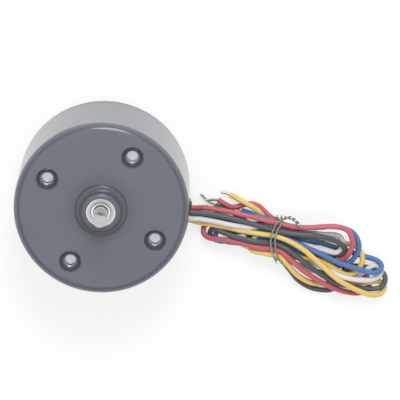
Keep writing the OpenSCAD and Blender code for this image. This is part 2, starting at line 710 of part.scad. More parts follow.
module circuit_board() {
  color([0.1, 0.35, 0.2])
    difference() {
      ring(board_z, board_t, board_r, step_r + coil_gap);
      placed(peg_turns, peg_place_r)
        translate([0, 0, board_z - cut])
          cylinder(h = board_t + 2 * cut, r = peg_r + seat_gap, $fn = small);
      placed(pin_turns, peg_place_r)
        translate([0, 0, board_z - cut])
          cylinder(h = board_t + 2 * cut, r = pin_r + seat_gap, $fn = small);
      rotate(exit_turn)
        translate([wire_start_r, -slot_w / 2 - lip_lap - cut, board_z - cut])
          cube([board_r, slot_w + 2 * lip_lap + 2 * cut, board_t + 2 * cut]);
    }
}

module position_sensors() {
  color([0.12, 0.12, 0.13])
    rotate(exit_turn)
      placed(sensor_turns, magnet_inner_r + magnet_t / 2)
        translate([0, 0, board_top_z])
          plate(sensor_size);
}

module driver_chip() {
  color([0.1, 0.1, 0.11])
    rotate(exit_turn + 180)
      translate([parts_r, 0, board_z - chip_t])
        plate([chip_w, chip_w, chip_t]);
}

module power_transistors() {
  color([0.13, 0.13, 0.14])
    rotate(exit_turn)
      placed(transistor_turns, parts_r)
        translate([0, 0, board_z - transistor_t])
          plate([transistor_w, transistor_w, transistor_t]);
}

module capacitors() {
  color([0.68, 0.58, 0.42])
    rotate(exit_turn)
      placed(capacitor_turns, parts_r)
        translate([0, 0, board_z - capacitor_size.z])
          plate(capacitor_size);
}

// Posts under the board on which the wires' inner ends are soldered
module wire_terminals() {
  color([0.8, 0.8, 0.78])
    rotate(exit_turn)
      for (p = wire_places)
        translate([wire_start_r - terminal_r - seat_gap, p.x, low_row_z - wire_r])
          cylinder(h = board_z - low_row_z + wire_r, r = terminal_r, $fn = small);
}

module insulating_sheet() {
  color([0.85, 0.85, 0.82])
    ring(cover_t, sheet_t, can_inner_r - can_wall - grommet_lip - sheet_gap, flange_r + sheet_gap);
}

module wire_grommet() {
  lip_w_all = slot_w + 2 * lip_lap;
  color([0.1, 0.1, 0.1])
    rotate(exit_turn)
      difference() {
        union() {
          intersection() {
            translate([can_inner_r - grommet_lip - can_wall, -lip_w_all / 2, cover_t + seat_gap])
              cube([2 * can_wall + grommet_lip, lip_w_all, slot_top_z + lip_lap - cover_t]);
            cylinder(h = 2 * slot_top_z, r = can_inner_r - seat_gap, $fn = fine);
          }
          translate([can_inner_r - can_wall, -slot_w / 2 + seat_gap, cover_t + seat_gap])
            cube([3 * can_wall, slot_w - 2 * seat_gap, slot_top_z - cover_t - 2 * seat_gap]);
          difference() {
            translate([can_r - can_wall, -lip_w_all / 2, cover_edge_r / 2])
              cube([can_wall + grommet_lip, lip_w_all, slot_top_z + lip_lap - cover_edge_r / 2]);
            cylinder(h = 2 * slot_top_z, r = can_r + seat_gap, $fn = fine);
          }
        }
        for (p = wire_places)
          translate([0, p.x, p.y])
            rotate([0, 90, 0])
              cylinder(h = can_d, r = wire_r + seat_gap, $fn = small);
      }
}

// Spring washer with three waves, thin enough to lie free in its room
module wave_washer() {
  waves = 3;
  steps = 72;
  thick = 0.35 * washer_room;
  rise = (washer_room - thick) / 2 - seat_gap;
  mid = shoulder_z - washer_room / 2;
  inner = tube_bore_r + (bearing_r - tube_bore_r) / 4;
  outer = bearing_r - (bearing_r - tube_bore_r) / 8;
  rings = [for (k = [0:steps - 1])
    let (a = k * 360 / steps, z = mid + rise * cos(waves * a), c = cos(a), s = sin(a))
    each [
      [inner * c, inner * s, z - thick / 2], [outer * c, outer * s, z - thick / 2],
      [outer * c, outer * s, z + thick / 2], [inner * c, inner * s, z + thick / 2]
    ]];
  faces = [for (k = [0:steps - 1], j = [0:3])
    let (a = 4 * k + j, b = 4 * k + (j + 1) % 4, n = 4 * steps)
    each [[a, (b + 4) % n, b], [a, (a + 4) % n, (b + 4) % n]]];
  color([0.6, 0.6, 0.62])
    polyhedron(rings, faces);
}

module outer_ring(z) {
  translate([0, 0, z])
    rotate_extrude($fn = fine)
      difference() {
        polygon([
          [outer_land_r, 0], [bearing_r - ring_chamfer, 0], [bearing_r, ring_chamfer],
          [bearing_r, bearing_w - ring_chamfer], [bearing_r - ring_chamfer, bearing_w],
          [outer_land_r, bearing_w]
        ]);
        translate([pitch_r, bearing_w / 2])
          circle(ball_r + race_gap, $fn = small);
      }
}

module inner_ring(z) {
  bore_r = shaft_r + seat_gap;
  translate([0, 0, z])
    rotate_extrude($fn = fine)
      difference() {
        polygon([
          [bore_r + ring_chamfer, 0], [inner_ring_r, 0], [inner_ring_r, bearing_w],
          [bore_r + ring_chamfer, bearing_w], [bore_r, bearing_w - ring_chamfer],
          [bore_r, ring_chamfer]
        ]);
        translate([pitch_r, bearing_w / 2])
          circle(ball_r + race_gap, $fn = small);
      }
}

module shields(z) {
  for (low = [shield_inset, bearing_w - shield_inset - shield_t])
    ring(z + low, shield_t, outer_land_r - seat_gap, inner_ring_r + shield_gap);
}

module balls(z, grow) {
  for (k = [0:ball_count - 1])
    rotate(k * 360 / ball_count)
      translate([pitch_r, 0, z + bearing_w / 2])
        sphere(ball_r + grow, $fn = small);
}

// Crown cage: a ring below the balls with fingers between them
module cage(z) {
  difference() {
    ring(z + bearing_w / 2 - cage_low, cage_low + cage_high, pitch_r + cage_wall / 2,
      pitch_r - cage_wall / 2);
    balls(z, cage_gap);
  }
}

module front_bearing_outer_ring() {
  color([0.75, 0.76, 0.78])
    outer_ring(front_bearing_z);
}

module rear_bearing_outer_ring() {
  color([0.75, 0.76, 0.78])
    outer_ring(rear_bearing_z);
}

module front_bearing_shields() {
  color([0.7, 0.71, 0.73])
    shields(front_bearing_z);
}

module rear_bearing_shields() {
  color([0.7, 0.71, 0.73])
    shields(rear_bearing_z);
}

module front_bearing_inner_ring() {
  color([0.78, 0.79, 0.8])
    inner_ring(front_bearing_z);
}

module rear_bearing_inner_ring() {
  color([0.78, 0.79, 0.8])
    inner_ring(rear_bearing_z);
}

module front_bearing_balls() {
  color([0.85, 0.86, 0.88])
    balls(front_bearing_z, 0);
}

module rear_bearing_balls() {
  color([0.85, 0.86, 0.88])
    balls(rear_bearing_z, 0);
}

module front_bearing_cage() {
  color([0.75, 0.65, 0.4])
    cage(front_bearing_z);
}

module rear_bearing_cage() {
  color([0.75, 0.65, 0.4])
    cage(rear_bearing_z);
}

module rotor_bell() {
  color([0.72, 0.76, 0.85])
    difference() {
      translate([0, 0, bell_low_z])
        rounded_disc(bell_r, bell_top_z - bell_low_z, bell_edge_r);
      translate([0, 0, bell_low_z - cut])
        rounded_disc(bell_inner_r, bell_under_z - bell_low_z + cut, bell_edge_r - bell_t);
      cylinder(h = bell_top_z + cut, r = hub_neck_d / 2 + seat_gap, $fn = fine);
    }
}

module magnet_ring() {
  color([0.25, 0.24, 0.24])
    ring(magnet_z, magnet_h, bell_inner_r - seat_gap, magnet_inner_r);
}

module rotor_hub() {
  color([0.8, 0.68, 0.4])
    difference() {
      union() {
        translate([0, 0, bell_under_z - hub_t])
          cylinder(h = hub_t, r = hub_d / 2, $fn = fine);
        translate([0, 0, bell_under_z - hub_t])
          cylinder(h = hub_t + bell_t + neck_lap, r = hub_neck_d / 2, $fn = fine);
        translate([0, 0, bell_under_z - hub_t])
          cylinder(h = front_shim_z - bell_under_z + hub_t, r = inner_ring_r, $fn = fine);
      }
      cylinder(h = front_shim_z + cut, r = shaft_r + seat_gap, $fn = fine);
    }
}

module shaft() {
  color([0.78, 0.78, 0.8])
    difference() {
      rotate_extrude($fn = fine)
        polygon([
          [0, shaft_end_z], [shaft_r - shaft_chamfer, shaft_end_z],
          [shaft_r, shaft_end_z + shaft_chamfer], [shaft_r, shaft_tip_z - shaft_chamfer],
          [shaft_r - shaft_chamfer, shaft_tip_z], [0, shaft_tip_z]
        ]);
      ring(clip_z - seat_gap, clip_t + 2 * seat_gap, shaft_r + cut, groove_r);
      ring(boss_top_z - relief_half, 2 * relief_half, shaft_r + cut, shaft_r - relief_depth);
    }
}

module shim_washers() {
  color([0.7, 0.7, 0.72])
    for (z = [front_shim_z, rear_shim_z])
      ring(z, shim_t, inner_ring_r, shaft_r + seat_gap);
}

module retaining_clip() {
  color([0.3, 0.3, 0.32])
    difference() {
      ring(clip_z, clip_t, clip_r, groove_r + seat_gap);
      translate([0, -groove_r, clip_z - cut])
        cube([clip_r + cut, 2 * groove_r, clip_t + 2 * cut]);
    }
}

// Point at t of the smooth curve between b and c, which comes from a and goes on to d
function curve_point(a, b, c, d, t) =
  let (
    k1 = sqrt(norm(b - a)), k2 = k1 + sqrt(norm(c - b)), k3 = k2 + sqrt(norm(d - c)),
    k = k1 + (k2 - k1) * t,
    ab = (a * (k1 - k) + b * k) / k1,
    bc = (b * (k2 - k) + c * (k - k1)) / (k2 - k1),
    cd = (c * (k3 - k) + d * (k - k2)) / (k3 - k2),
    ac = (ab * (k2 - k) + bc * k) / k2,
    bd = (bc * (k3 - k) + cd * (k - k1)) / (k3 - k1)
  )
  (ac * (k2 - k) + bd * (k - k1)) / (k2 - k1);

// Smooth curve through the points of a route, with a point about every step
function smooth(route, step) =
  let (last = len(route) - 1)
  [for (i = [0:last - 1])
    let (
      a = i > 0 ? route[i - 1] : 2 * route[0] - route[1],
      d = i < last - 1 ? route[i + 2] : 2 * route[last] - route[last - 1],
      n = max(1, ceil(norm(route[i + 1] - route[i]) / step))
    )
    for (k = [0:n - 1])
      curve_point(a, route[i], route[i + 1], d, k / n),
    route[last]];

// Sweeps an oval section along points; it turns by twist from each point to the next
module tube(points, half_w, half_h, twist = 0) {
  last = len(points) - 1;
  m = wire_sides;
  corners = [for (i = [0:last])
    let (
      along = points[min(i + 1, last)] - points[max(i - 1, 0)],
      side = cross(along, [0, 0, 1]),
      u = side / norm(side),
      up = cross(u, along),
      v = up / norm(up)
    )
    for (j = [0:m - 1])
      let (a = j * 360 / m, w = half_w * cos(a), h = half_h * sin(a), b = twist * i)
      points[i] + u * (w * cos(b) - h * sin(b)) + v * (w * sin(b) + h * cos(b))];
  walls = [for (i = [0:last - 1], j = [0:m - 1])
    let (p = i * m + j, q = i * m + (j + 1) % m)
    each [[p, q, q + m], [p, q + m, p + m]]];
  caps = [for (j = [1:m - 2])
    each [[0, j + 1, j], [last * m, last * m + j, last * m + j + 1]]];
  polyhedron(corners, concat(walls, caps));
}

// Least gap of a tube to itself, between points that are so many points apart along it
function self_gap(points, d, apart) =
  min([for (i = [0:len(points) - 1], j = [i + apart:1:len(points) - 1])
    norm(points[i] - points[j])]) - d;

module wire(name, route, colour) {
  points = smooth(route, ring_step);
  echo(name, least_gap_to_itself_mm = self_gap(points, wire_d, fold_points), rings = len(points));
  color(colour)
    tube(points, wire_r, wire_r);
}

module red_wire() {
  wire("red_wire", red_route, [0.75, 0.1, 0.12]);
}

module black_wire() {
  wire("black_wire", black_route, [0.08, 0.08, 0.09]);
}

module white_wire() {
  wire("white_wire", white_route, [0.88, 0.87, 0.88]);
}

module yellow_wire() {
  wire("yellow_wire", yellow_route, [0.9, 0.68, 0.2]);
}

module blue_wire() {
  wire("blue_wire", blue_route, [0.1, 0.25, 0.6]);
}

module tinned_ends() {
  color([0.7, 0.7, 0.68])
    for (route = end_routes)
      tube(smooth(route, ring_step / 2), strand_d / 2, strand_d / 2);
}

module wire_tie() {
  n = len(tie_turn);
  turns = smooth([for (k = [0:tie_turns - 1], j = [0:n - 1])
    tie_turn[j] + [tie_pitch * (k + j / n), 0, 0]], ring_step / 2);
  echo("wire_tie", least_gap_to_itself_mm = self_gap(turns, tie_d, tie_points), rings = len(turns));
  color([0.15, 0.15, 0.17]) {
    tube(turns, tie_d / 2, tie_d / 2);
    tube(tail_route, tie_d, tie_d / 2, tail_twist);
  }
}

front_housing();
rear_cover();
cover_screws();
stator_holder();
stator_core();
front_insulator();
rear_insulator();
windings();
lead_pins();
circuit_board();
position_sensors();
driver_chip();
power_transistors();
capacitors();
wire_terminals();
insulating_sheet();
wire_grommet();
wave_washer();
front_bearing_outer_ring();
front_bearing_shields();
rear_bearing_outer_ring();
rear_bearing_shields();
rotor_bell();
magnet_ring();
rotor_hub();
shaft();
front_bearing_inner_ring();
rear_bearing_inner_ring();
shim_washers();
retaining_clip();
front_bearing_balls();
front_bearing_cage();
rear_bearing_balls();
rear_bearing_cage();
red_wire();
black_wire();
white_wire();
yellow_wire();
blue_wire();
tinned_ends();
wire_tie();
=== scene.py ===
# %% [markdown]
# A small brushless motor stands on its rear cover, with its shaft up and five wires tied in a
# hank beside it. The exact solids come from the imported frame, one object for each sub-part. This
# lesson adds what those solids leave out: soft wires, the tie, wound coils and every finish.

# %% Load the frame
import json
import math
import bpy
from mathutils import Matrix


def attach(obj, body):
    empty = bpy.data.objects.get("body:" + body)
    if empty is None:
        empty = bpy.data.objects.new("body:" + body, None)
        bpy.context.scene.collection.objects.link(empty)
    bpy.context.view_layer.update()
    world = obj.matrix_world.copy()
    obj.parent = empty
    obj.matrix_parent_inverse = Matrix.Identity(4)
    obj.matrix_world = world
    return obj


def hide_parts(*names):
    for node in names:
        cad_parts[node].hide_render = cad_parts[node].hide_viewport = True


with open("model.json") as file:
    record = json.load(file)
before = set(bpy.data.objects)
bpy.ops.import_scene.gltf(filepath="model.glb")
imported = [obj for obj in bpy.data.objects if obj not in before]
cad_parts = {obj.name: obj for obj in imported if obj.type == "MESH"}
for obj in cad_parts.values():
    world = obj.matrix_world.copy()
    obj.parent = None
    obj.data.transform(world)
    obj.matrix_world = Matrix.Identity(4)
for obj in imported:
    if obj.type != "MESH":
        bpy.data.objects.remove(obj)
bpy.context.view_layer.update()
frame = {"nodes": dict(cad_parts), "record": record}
nodes = frame["nodes"]
MM = 0.001
bpy.ops.object.select_all(action="DESELECT")
print("nodes in the frame:", len(nodes))

# %% [markdown]
# The photograph looks almost straight down the shaft from less than a metre away, leaning back a
# little, so that a band of the can's side shows above the face. A long lens at that distance
# gives the same small perspective. The camera could be aimed by a constraint, but three plain
# numbers and one tilt are easier to read and to change.

# %% Camera
CAMERA_PLACE = (28.074 * MM, 208.398 * MM, 811.161 * MM)
CAMERA_TILT = -14.744
CAMERA_LENS = 256.2
CAMERA_NEAR = 0.01

bpy.ops.object.camera_add(location=CAMERA_PLACE, rotation=(math.radians(CAMERA_TILT), 0, 0))
camera = bpy.context.object
camera.data.lens = CAMERA_LENS
camera.data.clip_start = CAMERA_NEAR
bpy.context.scene.camera = camera
print("camera at", [round(c, 3) for c in camera.location])

# %% [markdown]
# Each wire leaves the can through the grommet, runs to the waist of the hank, and goes out and
# back through it, mostly twice, so that the tie holds nineteen strands in three layers. A cord is
# a fixed length of something soft, so its route is a list of points in millimetres, as in the CAD
# source, with more points in the tightest folds to keep them round.

# %% Places of the wires in the grommet
WIRE_R = 0.8
WIRE_START_R = 21.6
EXIT_TURN = math.radians(-18.5)
EXIT_STEP = 2.6
EXIT_POINTS = 3
WIRE_PLACES = {
    "red": (1.9, 2.9), "black": (0.95, 4.6), "white": (-0.95, 4.6), "yellow": (-1.9, 2.9),
    "blue": (0.0, 2.9)}


def way_out(t, z, radii):
    """Points of a wire at distances from the shaft's axis, t beside the grommet's middle."""
    c, s = math.cos(EXIT_TURN), math.sin(EXIT_TURN)
    return [(r * c - t * s, r * s + t * c, z) for r in radii]


print("wires through the grommet:", len(WIRE_PLACES))

# %% Routes of the five wires
ROUTES = {
    "red": [
        (29, -6.5, 3.4), (33.6, -7, 4), (38.3, -7.8, 4.5), (42.8, -8.8, 4.9), (47.2, -9.9, 5),
        (51.6, -10.9, 5), (55.9, -11.8, 5.4), (60.6, -11.9, 5.8), (64.8, -11.6, 5.9),
        (69.5, -11.9, 5.9), (71.6, -13, 5.8), (72.7, -15.2, 5.8), (73, -16.9, 5.7),
        (72.1, -19.7, 5.1), (71, -21.7, 3.9), (69.6, -22.6, 3.2), (67.5, -23, 3.1),
        (65.6, -22.9, 2.4), (63.2, -22.6, 1.3), (60.8, -21.9, 0.9), (57, -20.9, 0.9),
        (52.2, -20.1, 1.3), (48.3, -18.1, 1.1), (44, -16, 2.2), (41.5, -14.7, 1.4),
        (40, -13.8, 1.4), (38.6, -12.9, 1.9), (36.3, -12.3, 2.3), (31.6, -11.7, 1.5),
        (29.4, -12.6, 1.4), (29.2, -14.6, 2.3), (30.7, -15.7, 3.3), (33, -15.9, 3.9),
        (36.3, -16.1, 4.6), (37.6, -16.4, 4.8), (41.5, -17.1, 5.4), (43.3, -17.5, 5.8),
        (45.9, -18.1, 5.9), (47.8, -18.4, 5.4), (50.4, -18.9, 5), (52.6, -19.9, 5.2),
        (54.6, -21.6, 5.6), (58, -24.8, 5.4), (61.4, -27.3, 5), (65, -29.6, 4.4),
        (69.1, -31.6, 3.6), (73.3, -33.1, 1.7), (75.2, -33.3, 1.1), (77.5, -32.4, 1),
        (78.3, -29.9, 0.9), (77.4, -28.2, 0.9), (73.2, -26.8, 0.9), (69.1, -24.3, 0.9),
        (65.7, -21.3, 0.9), (64.5, -20.7, 0.9), (61.7, -18.8, 0.9), (59, -16.9, 0.9),
        (58, -16, 0.9), (54.5, -13.3, 1), (50.6, -10.9, 1.5), (48.5, -9.6, 1.4), (47.1, -8.3, 1),
        (45.3, -6.7, 0.9), (43.2, -6, 0.9), (40.7, -6.3, 0.9), (38.9, -6.9, 1), (37.3, -6.9, 1.2),
        (33.4, -4.8, 1),
    ],
    "black": [
        (29, -7.8, 4.7), (32.9, -8.4, 4.8), (37.7, -9.4, 4.9), (42.2, -10.6, 5),
        (46.6, -11.9, 5.1), (50.9, -13.1, 5), (55.6, -13.8, 5.7), (60, -14.1, 6),
        (64.5, -14.9, 5.6), (66.6, -15.6, 5.2), (68.9, -16.8, 4.7), (70.6, -18.4, 4.2),
        (71, -19.9, 3.3), (69.4, -21.4, 2.2), (67.2, -21.1, 2), (63, -19.5, 2.3),
        (58.3, -19.1, 1.6), (54.2, -18.7, 1.4), (51.6, -18.2, 1.6), (49.9, -17.3, 1.5),
        (47.9, -16.5, 2), (45.7, -17, 3.3), (43.4, -17.6, 3.6), (41.2, -17.6, 2.9),
        (37.1, -17.4, 2), (34.6, -17.2, 1.1), (32.7, -17, 0.9), (31, -15.6, 1.1),
        (31.4, -13.6, 1.9), (32.6, -13, 3.2), (35.3, -14, 4.3), (39.3, -15.1, 5.4),
        (44, -15.9, 6.3), (48.4, -16.8, 5.2), (50.4, -17.2, 5), (52.7, -18.1, 5.2),
        (54.3, -19, 5.5), (56.4, -20.6, 5.6), (59.9, -23.6, 5.2), (63.4, -26.3, 4.7),
        (67.3, -28.7, 4.7), (69.6, -29.7, 4.6), (71.9, -30.4, 3.8), (76.4, -31.3, 3),
        (80.8, -31.4, 2.6), (82.5, -30.2, 2.5), (82.8, -27.9, 2), (81.5, -26.4, 1.2),
        (79.4, -25.8, 0.9), (75.1, -25.1, 1), (72.7, -24.9, 1.7), (70.7, -26, 2.5),
        (69.2, -30.1, 2.4), (67.7, -31.7, 1.8), (65.5, -32.4, 1.1), (60.9, -31.6, 1),
        (57.1, -29.1, 1.5), (54.7, -25.9, 2.3), (51.9, -22.2, 3.2), (50.2, -21.2, 3.4),
        (47.9, -20.3, 3.1), (46.1, -19.4, 2.1), (44.7, -17.9, 0.9), (43, -13.7, 0.9),
        (41.7, -11.5, 0.9), (39.9, -9.9, 0.9), (35.9, -7.8, 0.9), (32.6, -6.5, 0.9),
    ],
    "white": [
        (27.9, -9.6, 4.6), (32.3, -10.3, 4.8), (37, -11.3, 5), (41.6, -12.1, 4.5),
        (44, -12.3, 4.1), (45.9, -12, 3.7), (48.4, -12.1, 3.3), (50.3, -12.8, 3.2),
        (54.7, -13.8, 3.7), (59.8, -14.1, 4), (61.7, -14.2, 3.9), (64.3, -14.5, 3.8),
        (68.8, -15.2, 2.8), (69.9, -16.5, 2.8), (69.9, -18.8, 2.8), (68.3, -20.3, 3.1),
        (66, -19.9, 3.6), (61.7, -18.5, 3.6), (57.3, -17.6, 3.2), (52.8, -16.9, 1.9),
        (51, -16.3, 1.5), (48.4, -14.9, 1.6), (46.2, -14.8, 2.6), (44.8, -14.9, 3.7),
        (43.9, -15.6, 4.6), (44.1, -16.7, 5), (45.2, -17.4, 4.8), (46.7, -17.6, 4.3),
        (48.4, -17.4, 3.7), (50.9, -18.4, 3.3), (54.8, -20, 2.7), (59.1, -22, 2.7),
        (62.7, -23.8, 3.9), (66.8, -25.6, 5.1), (69.6, -26.8, 5.6), (71.4, -27.4, 5.5),
        (75.6, -28.3, 4.6), (78.2, -28.3, 4.2), (80.2, -27.8, 3.7), (81.4, -26.7, 3.2),
        (81.4, -25.4, 2.7), (80.4, -24.5, 2.4), (79, -24.6, 2.4), (77.8, -25.4, 2.4),
        (76.6, -26.4, 2.5), (74.4, -27.7, 2.4), (72.6, -28.3, 1.8), (70.2, -28.5, 1),
        (67.9, -28, 0.9), (63.4, -26.9, 0.9), (59.2, -25.6, 0.9), (55, -23.6, 1.1),
        (51, -21.3, 1.5), (48.3, -20, 1.4), (46.7, -20.1, 1), (44.9, -20.1, 0.9),
        (42.5, -19.3, 0.9), (39.8, -17.9, 0.9), (38.5, -16.4, 0.9), (37.5, -14, 0.9),
        (37.2, -12, 0.9), (36.3, -10.3, 0.9), (34.9, -9, 0.9), (32.4, -8.1, 0.9),
    ],
    "yellow": [
        (28, -11.1, 3.2), (32, -11.6, 3.7), (36.7, -12.5, 4.1), (41, -13.5, 4.6), (43, -13.6, 5.2),
        (45.7, -13.9, 5.5), (50.4, -14.8, 5), (54.3, -16.1, 5.8), (58.2, -18.3, 6.4),
        (61.9, -21.4, 6.6), (65.2, -24.5, 6.7), (68.5, -27.4, 6.7), (72.2, -29.9, 5.9),
        (76.1, -32, 5), (78.6, -33, 3.9), (80.6, -33.3, 2.9), (82.1, -32.8, 1.8),
        (82.7, -31.6, 1.2), (82.1, -30.3, 1.1), (80.7, -29.5, 1.5), (78.2, -29.6, 2.5),
        (75.6, -29.8, 2), (73.8, -29.9, 1.3), (69.4, -30.3, 0.9), (64.8, -30.2, 1.9),
        (61, -29.5, 3.2), (56.8, -26.9, 4.2), (54, -23.6, 4.8), (52, -21.4, 5.1),
        (50.3, -20.6, 5.1), (48.4, -20.3, 5), (46.3, -19.8, 4.9), (44.4, -19.5, 4.9),
        (43.1, -19, 4.1), (42.7, -18.6, 3.3), (43.2, -18.2, 2.5), (44.5, -18.1, 2.4),
        (46.4, -18.4, 2.7), (48.4, -18.8, 2.9), (52.7, -20.7, 3.1), (55.7, -21.5, 3.7),
        (57, -21.6, 4), (61.4, -21.8, 4.4), (65.9, -23.6, 4.2), (69.7, -26.1, 4.2), (72, -26.8, 4),
        (74.3, -26, 3.5), (76.1, -22.4, 2.7), (74.1, -18.6, 2.1), (71.6, -18.1, 1.2),
        (69.9, -17.8, 1), (65.3, -16.6, 1.1), (60.4, -15.4, 1.7), (56.2, -14.9, 2.3),
        (52.1, -13.5, 1.7), (47.8, -11, 1.6), (45, -7.7, 2.1), (40.9, -5.1, 2.3), (36.9, -3.1, 1),
    ],
    "blue": [
        (28.5, -9.4, 2.8), (32.7, -10.4, 2.8), (37.5, -11.3, 3.2), (38.8, -11.6, 3.1),
        (42, -11.9, 2.5), (46.1, -12.1, 1.4), (50, -14, 1.2), (54.7, -16.1, 1.4),
        (59.2, -16.8, 2.2), (61.1, -17, 2), (63.5, -17.7, 1.5), (67.3, -19, 1.1), (72, -20.5, 0.9),
        (76.6, -22, 1.1), (79, -22.5, 1.8), (80.8, -23.1, 2.8), (81.6, -24.1, 3.9),
        (81.2, -25.2, 4.8), (79.9, -25.8, 5.3), (78.2, -25.7, 5.5), (76, -25.1, 5.5),
        (71.5, -23.6, 5.6), (67.6, -22.1, 5.5), (63.3, -20, 5.3), (59, -18.1, 4.9),
        (54.9, -16.1, 4.3), (51.1, -14.6, 3.4), (46.6, -13.4, 3.3), (44, -13.8, 3), (42.1, -14, 3),
        (37.6, -13.9, 2.8), (34.6, -13.6, 2.3), (33.3, -14, 2.1), (32.6, -15.1, 2.1),
        (32.9, -16.3, 2.3), (34, -16.9, 2.6), (35.6, -16.7, 2.9), (37.3, -16.3, 3.2),
        (39.3, -16.3, 3.4), (44, -16, 3.6), (46.6, -15.7, 3.8), (48.4, -15.9, 3.5),
        (52.2, -17.4, 3.4), (53.5, -17.9, 3.5), (56.6, -19.2, 3.3), (58.9, -20.1, 2.9),
        (61.1, -21.2, 2.7), (64.4, -23.7, 2.9), (66.2, -24.6, 2.7), (68.8, -24.4, 2.8),
        (71.2, -23.7, 3.3), (73, -22.5, 3.5), (74.9, -18.2, 4.2), (73.3, -14.2, 4.2),
        (69.4, -12.3, 4.2), (65.7, -12, 4.2), (64.4, -12.2, 4.2), (59.7, -12.4, 4.1),
        (55.6, -12.3, 3.7), (51, -11.3, 3.2), (46.9, -9.6, 3.4), (44.6, -8.9, 3.1),
        (42.6, -8.5, 1.9), (40.4, -8, 1),
    ],
}
EXIT_RADII = [WIRE_START_R + EXIT_STEP * k for k in range(EXIT_POINTS)]
for colour in ROUTES:
    ROUTES[colour] = way_out(*WIRE_PLACES[colour], EXIT_RADII) + ROUTES[colour]
    print(colour, "route has", len(ROUTES[colour]), "points")

# %% [markdown]
# Hook-up wire bends smoothly, so a curve has to pass through every point of a route without
# corners. A curve with two handles at each point could do it. A centripetal spline needs no
# handles and never overshoots between close points.

# %% Smooth curves through points
def between(a, b, c, d, t):
    """Point at t of the smooth curve from b to c, which comes from a and goes on to d."""
    k1 = math.dist(a, b) ** 0.5
    k2 = k1 + math.dist(b, c) ** 0.5
    k3 = k2 + math.dist(c, d) ** 0.5
    k = k1 + (k2 - k1) * t
    point = []
    for p, q, r, s in zip(a, b, c, d):
        pq = (p * (k1 - k) + q * k) / k1
        qr = (q * (k2 - k) + r * (k - k1)) / (k2 - k1)
        rs = (r * (k3 - k) + s * (k - k2)) / (k3 - k2)
        pr = (pq * (k2 - k) + qr * k) / k2
        qs = (qr * (k3 - k) + rs * (k - k1)) / (k3 - k1)
        point.append((pr * (k2 - k) + qs * (k - k1)) / (k2 - k1))
    return tuple(point)


def beyond(a, b):
    """The point as far past b as a is before it."""
    return tuple(2 * q - p for p, q in zip(a, b))


def smooth(route, step):
    """A smooth curve through a route, with a point about every step."""
    line = [beyond(route[1], route[0]), *route, beyond(route[-2], route[-1])]
    points = []
    for i in range(1, len(line) - 2):
        parts = max(1, math.ceil(math.dist(line[i], line[i + 1]) / step))
        points += [between(*line[i - 1:i + 3], k / parts) for k in range(parts)]
    return points + [tuple(route[-1])]


def metres(points):
    """Points in millimetres as points in metres."""
    return [tuple(c * MM for c in p) for p in points]


def along(points):
    """Length of a line of points."""
    return sum(math.dist(a, b) for a, b in zip(points, points[1:]))


print("red route, millimetres:", round(along(ROUTES["red"])))

# %% [markdown]
# A wire is a line of points with a round section, which a curve object with a bevel draws. The
# curve then becomes a mesh with its place in it, so that the piece's object stays at the origin.

# %% Round wire from a line of points
WIRE_DETAIL = 4
MERGE_REACH = 1e-7
SMOOTH_ANGLE = math.radians(50)


def choose(piece):
    """Selects this piece alone."""
    bpy.ops.object.select_all(action="DESELECT")
    piece.select_set(True)
    bpy.context.view_layer.objects.active = piece


def place_new(name, data):
    """A new object in the scene, the only one selected."""
    piece = bpy.data.objects.new(name, data)
    bpy.context.scene.collection.objects.link(piece)
    choose(piece)
    return piece


def clean_skin():
    """Merges doubles of the active mesh, points its faces outwards and shades it smooth."""
    bpy.ops.object.mode_set(mode="EDIT")
    bpy.ops.mesh.select_all(action="SELECT")
    bpy.ops.mesh.remove_doubles(threshold=MERGE_REACH)
    bpy.ops.mesh.normals_make_consistent(inside=False)
    bpy.ops.object.mode_set(mode="OBJECT")
    bpy.ops.object.shade_smooth_by_angle(angle=SMOOTH_ANGLE)


def round_wire(name, points, radius):
    """A solid round wire along points in millimetres."""
    curve = bpy.data.curves.new(name, "CURVE")
    curve.dimensions = "3D"
    line = curve.splines.new("POLY")
    line.points.add(len(points) - 1)
    for knot, point in zip(line.points, metres(points)):
        knot.co = (*point, 1)
    curve.bevel_depth = radius * MM
    curve.bevel_resolution = WIRE_DETAIL
    curve.use_fill_caps = True
    place_new(name, curve)
    bpy.ops.object.convert(target="MESH")
    clean_skin()
    return bpy.context.object


print("sides of a round wire:", 2 * WIRE_DETAIL + 4)

# %% [markdown]
# The bare ends are tinned strands: six thin wires twisted round a seventh and run together with
# solder. Seven thin tubes would show gaps that solder fills. From outside it is one rod with six
# soft ridges that turn as they go, so it is drawn as rings of points whose radius rises and falls
# six times, each ring turned a little further.

# %% Routes of the stripped ends
END_ROUTES = {
    "red": [(33.4, -4.8, 1), (31.4, -4.6, 1.5), (29.5, -4.7, 2)],
    "black": [(32.6, -6.5, 0.85), (30.2, -5, 0.7), (28.3, -3.1, 0.5)],
    "white": [(32.4, -8.1, 0.85), (31, -7.3, 0.8), (30, -6.6, 0.7)],
    "yellow": [(36.9, -3.1, 1), (35.6, -2.7, 0.8), (34.2, -2.5, 0.8)],
    "blue": [(40.4, -8, 1), (39.4, -7.6, 0.8), (38.6, -7.4, 0.8)],
}
for colour, route in END_ROUTES.items():
    print(colour, "bare end, millimetres:", round(along(route), 1))

# %% Rod with ridges that wind round it
STRAND_R = 0.4
ROD_SIDES = 24
RIDGES = 6
RIDGE_SHARE = 0.1
RING_TURN = 14
TIP_SHARE = 0.75


def unit(v):
    """The direction of a vector, one long."""
    size = math.hypot(*v)
    return tuple(c / size for c in v)


def crossed(u, v):
    """A direction square to two others."""
    return (u[1] * v[2] - u[2] * v[1], u[2] * v[0] - u[0] * v[2], u[0] * v[1] - u[1] * v[0])


def aside(before, after):
    """Two directions square to a line and to each other."""
    ahead = tuple(b - a for a, b in zip(before, after))
    u = unit(crossed(ahead, (0, 0, 1)))
    return u, unit(crossed(u, ahead))


